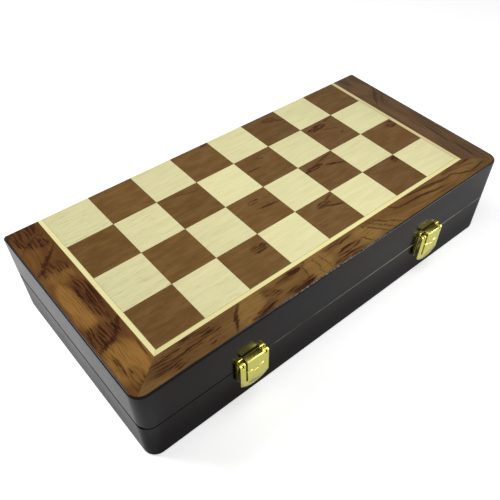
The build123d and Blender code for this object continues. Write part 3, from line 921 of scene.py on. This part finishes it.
@dataclass(frozen=True)
class Palette:
    """Every finish of the box, built once as a material."""

    lacquer: Material
    light: Material
    dark: Material
    strip: Material
    borders: dict[str, Material]
    felt: Material
    brass: Material
    unpolished: Material
    steel: Material

    @classmethod
    def mixed(cls, square: float, hinge_edge: float, strip_corner: tuple[float, float],
              half_height: float) -> "Palette":
        """Builds the materials.

        Args:
            square: one square's side.
            hinge_edge: the Y of the board's hinge edge.
            strip_corner: the X and Y of the inlay strips' outer corner.
            half_height: one half's height.

        Returns:
            The palette.
        """
        effects = Effects()
        return cls(
            lacquer=Lacquer().material(effects, half_height),
            light=PaleVeneer().material(effects, square, hinge_edge),
            dark=DarkVeneer().material(effects, square, hinge_edge),
            strip=StripVeneer().material(effects, strip_corner, strip_corner[0] - HALF_BOARD * square),
            borders={
                "border_left": LEFT_BORDER.material(effects),
                "border_right": RIGHT_BORDER.material(effects),
                "border_front": FRONT_BORDER.material(effects),
            },
            felt=FeltCloth().material(),
            brass=BRASS.material(effects),
            unpolished=SHADED_BRASS.material(effects),
            steel=STEEL.material(effects),
        )


# ---- mesh helpers ------------------------------------------------------------

SAME_PLACE = 1e-6
FLAT_WITHIN = math.radians(1)
EASED_FROM = math.radians(30)
LOOKS_UP = 0.99


def add_object(name: str, data: bpy.types.ID) -> Object:
    """Puts a mesh, a light or a camera in the scene as an object at the origin.

    Args:
        name: the object's name.
        data: the mesh, light or camera.

    Returns:
        The new object.
    """
    obj = bpy.data.objects.new(name, data)
    bpy.context.scene.collection.objects.link(obj)
    return obj


def to_mesh(name: str, form: Form) -> Mesh:
    """Frees a bmesh into a new mesh.

    Args:
        name: the mesh's name.
        form: the bmesh, which is freed.

    Returns:
        The new mesh.
    """
    mesh = bpy.data.meshes.new(name)
    form.to_mesh(mesh)
    form.free()
    return mesh


def settle(obj: Object) -> Object:
    """Turns an object's modifiers into plain mesh and removes them.

    Args:
        obj: the object.

    Returns:
        The same object, without modifiers.
    """
    graph = bpy.context.evaluated_depsgraph_get()
    mesh = bpy.data.meshes.new_from_object(obj.evaluated_get(graph), depsgraph=graph)
    obj.modifiers.clear()
    obj.data = mesh
    return obj


def dress(obj: Object, material: Material) -> None:
    """Gives an object one finish all over."""
    obj.data.materials.clear()
    obj.data.materials.append(material)


def dress_node(node: str, material: Material) -> None:
    """Gives a CAD node one finish through its object's own slots.

    Args:
        node: the CAD node.
        material: the finish.
    """
    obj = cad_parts[node]
    if not obj.material_slots:
        obj.data.materials.append(material)
    for entry in obj.material_slots:
        entry.material = material


def mount(obj: Object, body: str, node: str) -> None:
    """Lets a finished piece ride on a body and stand for its CAD node.

    Args:
        obj: the piece.
        body: the body that carries it.
        node: the CAD node that it stands for.
    """
    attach(obj, body)
    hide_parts(node)
    log.info("%s rides on %s, %d faces", obj.name, body, len(obj.data.polygons))


def eased(node: str, edge: float, material: Material, cuts: tuple[float, ...] = ()) -> Object:
    """Copies a CAD node with its edges rounded.

    Args:
        node: the CAD node.
        edge: the rounding's width.
        material: the finish.
        cuts: the X of each plane that splits the flat faces, so that they can be dressed apart.

    Returns:
        The new piece, with plain mesh.
    """
    form = bmesh.new()
    form.from_mesh(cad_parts[node].data)
    bmesh.ops.remove_doubles(form, verts=form.verts, dist=SAME_PLACE)
    bmesh.ops.dissolve_limit(form, angle_limit=FLAT_WITHIN, verts=form.verts, edges=form.edges)
    for cut in cuts:
        whole = [*form.verts, *form.edges, *form.faces]
        bmesh.ops.bisect_plane(form, geom=whole, plane_co=(cut, 0.0, 0.0), plane_no=(1.0, 0.0, 0.0))
    piece = add_object(f"{node}_eased", to_mesh(node, form))
    dress(piece, material)
    piece.data.shade_smooth()
    bevel = piece.modifiers.new("Edge", "BEVEL")
    bevel.width, bevel.segments = edge, 2
    bevel.limit_method, bevel.angle_limit = "ANGLE", EASED_FROM
    bevel.harden_normals = True
    return settle(piece)


# ---- what repeats ------------------------------------------------------------


def set_input(modifier: bpy.types.Modifier, name: str, value: object) -> None:
    """Sets a Geometry Nodes modifier's input by its name in the tree.

    Args:
        modifier: the modifier.
        name: the input's name.
        value: its value.
    """
    for item in modifier.node_group.interface.items_tree:
        if item.item_type == "SOCKET" and item.in_out == "INPUT" and item.name == name:
            modifier[item.identifier] = value
            return
    raise KeyError(name)


def grow(name: str, tree: Tree, mesh: Mesh, **inputs: object) -> Object:
    """Runs a Geometry Nodes tree on a mesh and keeps the result as plain mesh.

    Args:
        name: the piece's name.
        tree: the Geometry Nodes tree.
        mesh: what the tree starts from.
        inputs: the tree's inputs by name, with underscores for spaces.

    Returns:
        The finished piece.
    """
    piece = add_object(name, mesh)
    modifier = piece.modifiers.new("Repeat", "NODES")
    modifier.node_group = tree
    for label, value in inputs.items():
        set_input(modifier, label.replace("_", " "), value)
    return settle(piece)


def close_tree(n: Nodes, sink: Node, copies: Socket, finish: Socket) -> Tree:
    """Ends a tree: makes its copies real and paints them.

    Args:
        n: the tree's nodes.
        sink: its output node.
        copies: the instances.
        finish: their material.

    Returns:
        The finished tree.
    """
    solid = n.one("GeometryNodeRealizeInstances", {0: copies})
    painted = n.one("GeometryNodeSetMaterial", {"Geometry": solid, "Material": finish})
    n.put(sink, Geometry=painted)
    return n.tree


def tile_field() -> Tree:
    """Lays every second tile of a chequered field.

    Returns:
        The tree. It takes Geometry, one tile; Columns and Rows; Pitch, from tile to
        tile; Centre of the field; Parity, 0 or 1, which of the two colours; Finish.
    """
    inputs = {"Geometry": "Geometry", "Columns": 8, "Rows": 4, "Pitch": 30 * MM, "Centre": "Vector",
              "Parity": 0, "Finish": "Material"}
    n, given, sink = open_group("Tile field", inputs, {"Geometry": "Geometry"}, "GeometryNodeTree")
    wide = n.times(n.minus(given["Columns"], 1.0), given["Pitch"])
    deep = n.times(n.minus(given["Rows"], 1.0), given["Pitch"])
    grid = n.one("GeometryNodeMeshGrid", {"Size X": wide, "Size Y": deep, "Vertices X": given["Columns"],
                                          "Vertices Y": given["Rows"]})
    index = n.one("GeometryNodeInputIndex")
    column = n.math("FLOOR", n.over(n.plus(index, 0.5), given["Rows"]))
    row = n.minus(index, n.times(column, given["Rows"]))
    parity = n.math("MODULO", n.plus(column, row), 2.0)
    match = n.math("COMPARE", parity, given["Parity"], 0.1)
    moved = n.one("GeometryNodeSetPosition", {"Geometry": grid, "Offset": given["Centre"]})
    laid = n.one("GeometryNodeInstanceOnPoints", {"Points": moved, "Selection": match,
                                                  "Instance": given["Geometry"]})
    return close_tree(n, sink, laid, given["Finish"])


def fastener_row() -> Tree:
    """Sets one fastener at every point, each with its head turned its own way.

    Returns:
        The tree. It takes Geometry, the points; Fastener, an object whose head faces
        +Z; Facing, the way the heads look; Turn, the most a head is turned; Seed; Finish.
    """
    inputs = {"Geometry": "Geometry", "Fastener": "Object", "Facing": "Vector", "Turn": 3.0,
              "Seed": 0, "Finish": "Material"}
    n, given, sink = open_group("Fastener row", inputs, {"Geometry": "Geometry"}, "GeometryNodeTree")
    turn = n.add("FunctionNodeRandomValue", {3: given["Turn"], "Seed": given["Seed"]}, data_type="FLOAT")
    spin = n.one("FunctionNodeEulerToRotation", {0: n.join(0.0, 0.0, turn.outputs[1])})
    aim = n.one("FunctionNodeAlignRotationToVector", {"Vector": given["Facing"]}, axis="Z")
    both = n.one("FunctionNodeRotateRotation", {0: aim, 1: spin}, rotation_space="LOCAL")
    shape = n.add("GeometryNodeObjectInfo", {"Object": given["Fastener"]}).outputs["Geometry"]
    row = n.one("GeometryNodeInstanceOnPoints", {"Points": given["Geometry"], "Instance": shape,
                                                 "Rotation": both})
    return close_tree(n, sink, row, given["Finish"])


def points(places: list[Place]) -> Mesh:
    """Makes a mesh of loose points.

    Args:
        places: where the points lie.

    Returns:
        The mesh.
    """
    mesh = bpy.data.meshes.new("Places")
    mesh.from_pydata(places, [], [])
    return mesh


def lathe(profile: list[tuple[float, float]], steps: int) -> Form:
    """Turns a profile of (radius, height) round Z into a closed form.

    Args:
        profile: from the axis at the bottom to the axis at the top.
        steps: faces round the form.

    Returns:
        The form, its faces looking outwards.
    """
    form = bmesh.new()
    rings = []
    for radius, height in profile:
        if radius == 0.0:
            rings.append([form.verts.new((0, 0, height))])
            continue
        angles = (math.tau * i / steps for i in range(steps))
        rings.append([form.verts.new((radius * math.cos(a), radius * math.sin(a), height)) for a in angles])
    for low, high in zip(rings, rings[1:]):
        for i in range(steps):
            j = (i + 1) % steps
            corners = [low[i % len(low)], low[j % len(low)], high[j % len(high)], high[i % len(high)]]
            form.faces.new(list(dict.fromkeys(corners)))
    bmesh.ops.recalc_face_normals(form, faces=form.faces)
    return form


@dataclass
class RoundNail:
    """A round headed brass nail that holds a latch plate; arc gives the angles up its dome."""

    shank: float = 0.6 * MM
    head: float = 1.3 * MM
    dome: float = 0.5 * MM
    length: float = 6.5 * MM
    arc: tuple[float, ...] = (0.0, 0.35, 0.75, 1.15)
    steps: int = 20

    def shape(self) -> Object:
        """Builds the nail.

        Returns:
            The nail, with its head's underside at Z 0 and its head up.
        """
        domed = [(self.head * math.cos(t), self.dome * math.sin(t)) for t in self.arc]
        profile = [(0.0, -self.length), (self.shank, -self.length + self.shank), (self.shank, 0.0),
                   *domed, (0.0, self.dome)]
        mesh = to_mesh("Round nail", lathe(profile, self.steps))
        mesh.shade_smooth()
        return add_object("Round nail", mesh)


@dataclass
class CrossScrew:
    """A small countersunk screw with a cross recess."""

    shank: float = 0.9 * MM
    head: float = 1.7 * MM
    sink: float = 1.0 * MM
    length: float = 9.0 * MM
    arm: float = 0.95 * MM
    slot: float = 0.22 * MM
    recess: float = 0.55 * MM
    taper: float = 0.6
    steps: int = 24

    def cross(self) -> list[tuple[float, float]]:
        """Draws the recess's outline.

        Returns:
            The twelve corners of a plus.
        """
        a, s = self.arm, self.slot
        quarter = [(a, -s), (a, s), (s, s)]
        corners = []
        for turn in range(4):
            c, d = round(math.cos(turn * math.pi / 2)), round(math.sin(turn * math.pi / 2))
            corners += [(x * c - y * d, x * d + y * c) for x, y in quarter]
        return corners

    def shape(self) -> Object:
        """Builds the screw.

        Returns:
            The screw, with its flat top at Z 0 and its head up.
        """
        profile = [(0.0, -self.length), (self.shank, -self.length + 2 * self.shank),
                   (self.shank, -self.sink), (self.head, 0.0), (0.0, 0.0)]
        form = lathe(profile, self.steps)
        lid = [f for f in form.faces if f.normal.z > LOOKS_UP]
        rim = [e for e in form.edges if sum(f in lid for f in e.link_faces) == 1]
        bmesh.ops.delete(form, geom=lid, context="FACES_ONLY")
        top = [form.verts.new((x, y, 0.0)) for x, y in self.cross()]
        foot = [form.verts.new((x * self.taper, y * self.taper, -self.recess)) for x, y in self.cross()]
        count = len(top)
        edges = [form.edges.new((top[i], top[(i + 1) % count])) for i in range(count)]
        bmesh.ops.triangle_fill(form, use_beauty=True, edges=rim + edges, normal=Vector((0, 0, 1)))
        for i in range(count):
            j = (i + 1) % count
            form.faces.new((top[i], top[j], foot[j], foot[i]))
        form.faces.new(foot)
        loose = [v for v in form.verts if not v.link_faces]
        bmesh.ops.delete(form, geom=loose, context="VERTS")
        bmesh.ops.recalc_face_normals(form, faces=form.faces)
        return add_object("Cross screw", to_mesh("Cross screw", form))


# ---- the box -----------------------------------------------------------------


class Half(Enum):
    """The two halves of the box, by the word their nodes start with."""

    TRAY = "tray"
    LID = "lid"

    @property
    def body(self) -> str:
        """The body that the half's pieces ride on."""
        return "lower_case" if self is Half.TRAY else "lid"

    @property
    def up(self) -> float:
        """Which way the half's board looks: -1 down, 1 up."""
        return -1.0 if self is Half.TRAY else 1.0


@dataclass
class CaseHalf:
    """One half of the box: lacquered walls, veneered board, felt, screws and nails.

    Attributes:
        half: which half.
        square: from one square's middle to the next.
        columns: squares along the box.
        rows: squares across one half.
        joint: half the gap between two squares.
        chamfer: how far a square's edges are eased.
        felt_cell: the felt's mesh width, over which its border rolls down too.
        felt_roll: how far the border rolls down.
        felt_dip: how deep the felt's dips are.
        felt_wave: how wide they are.
        hinge_x: from the box's middle to a hinge's.
        screw_step: from the hinge's middle to a screw.
        latch_x: from the box's middle to a latch's.
    """

    half: Half
    square: float = 31.25 * MM
    columns: int = 8
    rows: int = 4
    joint: float = 0.03 * MM
    chamfer: float = 0.06 * MM
    felt_cell: float = 3.0 * MM
    felt_roll: float = 0.35 * MM
    felt_dip: float = 0.12 * MM
    felt_wave: float = 12.0 * MM
    hinge_x: float = 90.0 * MM
    screw_step: float = 11.0 * MM
    latch_x: float = 79.0 * MM

    def node(self, part: str) -> str:
        """The name of one of this half's CAD nodes."""
        return f"{self.half.value}_{part}"

    def build(self, palette: Palette, trees: dict[str, Tree], shapes: dict[str, Object]) -> None:
        """Builds and dresses the whole half.

        Args:
            palette: the finishes.
            trees: the Geometry Nodes trees by name.
            shapes: the fasteners by name.
        """
        for part in ("front_wall", "back_wall", "left_wall", "right_wall", "panel"):
            dress_node(self.node(part), palette.lacquer)
        dress_node(self.node("inlay_strips"), palette.strip)
        for part, material in palette.borders.items():
            dress_node(self.node(part), material)
        log.info("%s case and borders dressed", self.half.value)
        self.build_squares(palette, trees["tiles"])
        self.build_felt(palette)
        self.build_fasteners(palette, trees["fasteners"], shapes)

    def tile(self) -> Mesh:
        """Cuts one square of veneer.

        Returns:
            Its mesh round the origin, with eased edges.
        """
        low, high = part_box(self.node("light_squares"))
        side = self.square - 2 * self.joint
        form = bmesh.new()
        bmesh.ops.create_cube(form, size=1.0)
        bmesh.ops.scale(form, vec=(side, side, high.z - low.z), verts=form.verts)
        bmesh.ops.bevel(form, geom=form.edges[:], offset=self.chamfer, segments=1, affect="EDGES")
        return to_mesh("Tile", form)

    def build_squares(self, palette: Palette, tree: Tree) -> None:
        """Lays the light and the dark squares.

        Args:
            palette: the finishes.
            tree: the tile field.
        """
        low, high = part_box(self.node("light_squares"))
        hinge_edge = max(high.y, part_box(self.node("dark_squares"))[1].y) + self.joint
        centre = (0.0, hinge_edge - self.rows * self.square / 2, (low.z + high.z) / 2)
        # The last row is at the hinge edge. Its first square is light on the lid, dark on the tray.
        light = (self.rows - 1) % 2 if self.half is Half.LID else self.rows % 2
        for part, parity, material, slot in (("light_squares", light, palette.light, PaleVeneer.slot),
                                             ("dark_squares", 1 - light, palette.dark, DarkVeneer.slot)):
            piece = grow(f"{self.node(part)}_laid", tree, self.tile(), Columns=self.columns,
                         Rows=self.rows, Pitch=self.square, Centre=centre, Parity=parity, Finish=material)
            mount(piece, self.half.body, self.node(part))

    def build_felt(self, palette: Palette) -> None:
        """Lays the felt on the panel: a thin mat with soft edges and a slightly uneven top.

        Args:
            palette: the finishes.
        """
        low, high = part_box(self.node("felt_lining"))
        base, face = (high.z, low.z) if self.half is Half.LID else (low.z, high.z)
        size = high - low
        counts = [round(size.x / self.felt_cell), round(size.y / self.felt_cell)]
        form = bmesh.new()
        bmesh.ops.create_grid(form, x_segments=counts[0], y_segments=counts[1], size=0.5)
        for vert in form.verts:
            x, y = vert.co.x * size.x, vert.co.y * size.y
            inset = min(size.x / 2 - abs(x), size.y / 2 - abs(y))
            roll = max(0.0, 1.0 - inset / self.felt_cell) ** 2 * self.felt_roll
            wave = 0.5 + 0.5 * noise.noise(Vector((x, y, self.half.up)) / self.felt_wave)
            drop = roll + self.felt_dip * wave
            vert.co = (x, y, face + math.copysign(drop, base - face))
        rim = [e for e in form.edges if e.is_boundary]
        walls = bmesh.ops.extrude_edge_only(form, edges=rim)["geom"]
        bottom = [v for v in walls if isinstance(v, bmesh.types.BMVert)]
        for vert in bottom:
            vert.co.z = base
        bmesh.ops.contextual_create(form, geom=[e for e in form.edges if e.is_boundary])
        centre = (low + high) / 2
        bmesh.ops.translate(form, vec=(centre.x, centre.y, 0), verts=form.verts)
        bmesh.ops.recalc_face_normals(form, faces=form.faces)
        piece = add_object(f"{self.node('felt')}_mat", to_mesh("Felt", form))
        dress(piece, palette.felt)
        piece.data.shade_smooth()
        mount(piece, self.half.body, self.node("felt_lining"))

    def build_fasteners(self, palette: Palette, tree: Tree, shapes: dict[str, Object]) -> None:
        """Drives the hinge screws and the latch nails.

        Args:
            palette: the finishes.
            tree: the fastener row.
            shapes: the fasteners by name.
        """
        low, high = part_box(self.node("hinge_screws"))
        face = high.z if self.half is Half.TRAY else low.z
        nail_low, nail_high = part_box(self.node("latch_nails"))
        plate_front = nail_low.y + RoundNail.dome
        for part, shape, middle, step, y, z, facing, material, slot in (
                ("hinge_screws", "screw", self.hinge_x, self.screw_step, (low.y + high.y) / 2, face,
                 (0.0, 0.0, -self.half.up), palette.steel, STEEL.slot),
                ("latch_nails", "nail", self.latch_x, self.nail_step, plate_front,
                 (nail_low.z + nail_high.z) / 2, (0.0, -1.0, 0.0), palette.brass, BRASS.slot)):
            places = [(side * middle + x, y, z) for side in (-1, 1) for x in (-step, step)]
            piece = grow(f"{self.node(part)}_driven", tree, points(places), Fastener=shapes[shape],
                         Turn=math.pi, Facing=facing, Seed=self.seed, Finish=material)
            mount(piece, self.half.body, self.node(part))

    @property
    def seed(self) -> int:
        """The seed of this half's random turns."""
        return 11 if self.half is Half.TRAY else 12

    @property
    def nail_step(self) -> float:
        """How far the half's latch nails stand from the latch's middle."""
        return 4.2 * MM if self.half is Half.TRAY else 3.0 * MM


@dataclass
class Hinge:
    """One butt hinge: two leaves and a pin."""

    side: str
    edge: float = 0.12 * MM

    def build(self, palette: Palette) -> None:
        """Builds both leaves and the pin.

        Args:
            palette: the finishes.
        """
        for part, body, material, finish in (("tray_leaf", Half.TRAY.body, palette.brass, BRASS),
                                             ("lid_leaf", Half.LID.body, palette.brass, BRASS),
                                             ("pin", Half.TRAY.body, palette.steel, STEEL)):
            node = f"hinge_{self.side}_{part}"
            mount(eased(node, self.edge, material), body, node)


@dataclass
class DrawLatch:
    """One draw latch: base, keeper, lever with its rivets, and hooked link with its pin.

    Attributes:
        side: left or right.
        sheet_edge: how wide the lever's and the link's edges are eased.
        plate_edge: the same for the base and the keeper.
        pin_edge: the same for the rivets and the pin.
        inner_half: half the width of the keeper that stays behind the lever.
        facing: how squarely a face has to look the hidden way to count as hidden, at most 1.
    """

    side: str
    sheet_edge: float = 0.1 * MM
    plate_edge: float = 0.06 * MM
    pin_edge: float = 0.1 * MM
    inner_half: float = 6.3 * MM
    facing: float = 0.3

    def build(self, palette: Palette) -> None:
        """Builds the latch's six pieces.

        Args:
            palette: the finishes.
        """
        lever = f"lever_{self.side}"
        low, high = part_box(f"latch_{self.side}_keeper")
        inner = ((low.x + high.x) / 2 - self.inner_half, (low.x + high.x) / 2 + self.inner_half)
        front, back, front_and_top = Vector((0, -1, 0)), Vector((0, 1, 0)), Vector((0, -0.7, 0.7))
        for part, body, edge, cuts, hidden in (
                ("base", Half.TRAY.body, self.plate_edge, (), front),
                ("keeper", Half.LID.body, self.plate_edge, inner, front_and_top),
                ("lever", lever, self.sheet_edge, (), back),
                ("lever_rivets", Half.TRAY.body, self.pin_edge, (), None),
                ("link", f"link_{self.side}", self.sheet_edge, (), back),
                ("link_pin", lever, self.pin_edge, (), None)):
            node = f"latch_{self.side}_{part}"
            piece = eased(node, edge, palette.brass, cuts)
            # Faces in the shade behind the lever get near black brass: painted shade.
            if hidden:
                self.dull(piece, palette.unpolished, hidden, cuts or (-math.inf, math.inf))
            mount(piece, body, node)

    def dull(self, piece: Object, material: Material, hidden: Vector, between: tuple[float, ...]) -> None:
        """Paints shade with near black brass on the faces that lie hidden behind the lever.

        Args:
            piece: the piece, in plain mesh.
            material: the near black brass that paints the shade.
            hidden: the direction that the hidden faces look in.
            between: the X from which and the X to which the faces are left so.
        """
        piece.data.materials.append(material)
        for face in piece.data.polygons:
            if face.normal.dot(hidden) > self.facing and between[0] < face.center.x < between[1]:
                face.material_index = 1


# ---- the studio --------------------------------------------------------------


@dataclass(frozen=True)
class SoftLamp:
    """A square soft lamp that looks at a point."""

    name: str
    place: Place
    power: float
    size: float
    target: Place = (0.0, 0.0, 0.03)

    def build(self) -> None:
        """Adds the lamp."""
        data = bpy.data.lights.new(self.name, "AREA")
        data.energy, data.size = self.power, self.size
        lamp = add_object(self.name, data)
        lamp.location = self.place
        aim = Vector(self.target) - Vector(self.place)
        lamp.rotation_euler = aim.to_track_quat("-Z", "Y").to_euler()


@dataclass(frozen=True)
class Studio:
    """A pale floor, a white surround, soft lamps and the camera.

    Attributes:
        place: where the camera stands.
        right: the way to the right in its view.
        up: the way up in its view.
        floor_lift: how bright the floor glows to the camera.
        mirrored_lift: how bright it glows in gloss.
        ambient: how bright the surround is to what it lights.
    """

    place: Place = (-0.193657, -0.213854, 0.313515)
    right: Place = (0.74951, -0.66119, 0.03267)
    up: Place = (0.48124, 0.57808, 0.65896)
    lens: float = 41.756
    sensor: float = 36.0
    clip: float = 0.01
    shift: tuple[float, float] = (-0.0597, 0.0489)
    floor_side: float = 6.0
    floor_tone: Colour = (0.80, 0.80, 0.80, 1.0)
    floor_lift: float = 0.65
    mirrored_lift: float = 0.2
    ambient: float = 0.04
    lamps: tuple[SoftLamp, ...] = (
        SoftLamp("Key", (-0.45, 0.5, 0.8), 6.4, 0.4),
        SoftLamp("Front", (0.55, -0.62, 0.22), 3.3, 0.3),
        SoftLamp("Top", (0.04, -0.07, 0.3), 0.28, 0.12),
    )

    def build(self) -> None:
        """Sets the camera, the floor, the surround and the lamps."""
        self.set_camera()
        self.set_floor()
        self.set_surround()
        for lamp in self.lamps:
            lamp.build()
        bpy.context.scene.view_settings.view_transform = "Standard"

    def set_camera(self) -> None:
        """Adds the camera at the corner of the box, looking down on it."""
        right, up = Vector(self.right).normalized(), Vector(self.up).normalized()
        turn = Matrix((right, up, right.cross(up))).transposed().to_4x4()
        data = bpy.data.cameras.new("Camera")
        data.sensor_width, data.lens = self.sensor, self.lens
        data.shift_x, data.shift_y = self.shift
        data.clip_start = self.clip
        camera = add_object("Camera", data)
        camera.matrix_world = Matrix.Translation(self.place) @ turn
        bpy.context.scene.camera = camera

    @staticmethod
    def seen(n: Nodes, mirrored: float = 1.0) -> Socket:
        """Finds where the camera looks at the surface itself.

        Args:
            n: the nodes of the floor or of the surround.
            mirrored: what rays from gloss or through glass count.

        Returns:
            1 for rays from the camera.
        """
        path = n.add("ShaderNodeLightPath").outputs
        rays = n.math("ADD", path["Is Glossy Ray"], path["Is Transmission Ray"], clamp=True)
        return n.math("ADD", path["Is Camera Ray"], n.times(rays, mirrored), clamp=True)

    def set_floor(self) -> None:
        """Lays the floor: pale, lifted to white where it is looked at, but keeping its shadow."""
        form = bmesh.new()
        bmesh.ops.create_grid(form, x_segments=1, y_segments=1, size=self.floor_side / 2)
        floor = add_object("Floor", to_mesh("Floor", form))
        material = bpy.data.materials.new("Pale floor")
        n = fresh_nodes(material)
        matt = n.one("ShaderNodeBsdfDiffuse", {"Color": self.floor_tone})
        seen = self.seen(n, self.mirrored_lift / self.floor_lift)
        lift = n.one("ShaderNodeEmission", {"Strength": n.times(seen, self.floor_lift)})
        both = n.one("ShaderNodeAddShader", {0: matt, 1: lift})
        n.add("ShaderNodeOutputMaterial", {"Surface": both})
        dress(floor, material)

    def set_surround(self) -> None:
        """Surrounds the box with plain white that lights it softly."""
        world = bpy.data.worlds.new("Surround")
        n = fresh_nodes(world)
        strength = n.span(self.seen(n), 0.0, 1.0, self.ambient, 1.0)
        back = n.one("ShaderNodeBackground", {"Color": (1.0, 1.0, 1.0, 1.0), "Strength": strength})
        n.add("ShaderNodeOutputWorld", {"Surface": back})
        bpy.context.scene.world = world


def main() -> None:
    """Builds the studio and the box, piece by piece."""
    logging.basicConfig(level=logging.INFO, format="%(name)s: %(message)s")
    Studio().build()
    lid = CaseHalf(Half.LID)
    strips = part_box(lid.node("inlay_strips"))
    palette = Palette.mixed(lid.square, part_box(lid.node("dark_squares"))[1].y + lid.joint,
                            (strips[1].x, strips[0].y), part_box(lid.node("panel"))[1].z / 2)
    trees = {"tiles": tile_field(), "fasteners": fastener_row()}
    shapes = {"screw": CrossScrew().shape(), "nail": RoundNail().shape()}
    for half in (CaseHalf(Half.TRAY), lid):
        half.build(palette, trees, shapes)
    for shape in shapes.values():
        bpy.data.objects.remove(shape)
    for side in ("left", "right"):
        Hinge(side).build(palette)
        DrawLatch(side).build(palette)


if __name__ == "__main__":
    main()
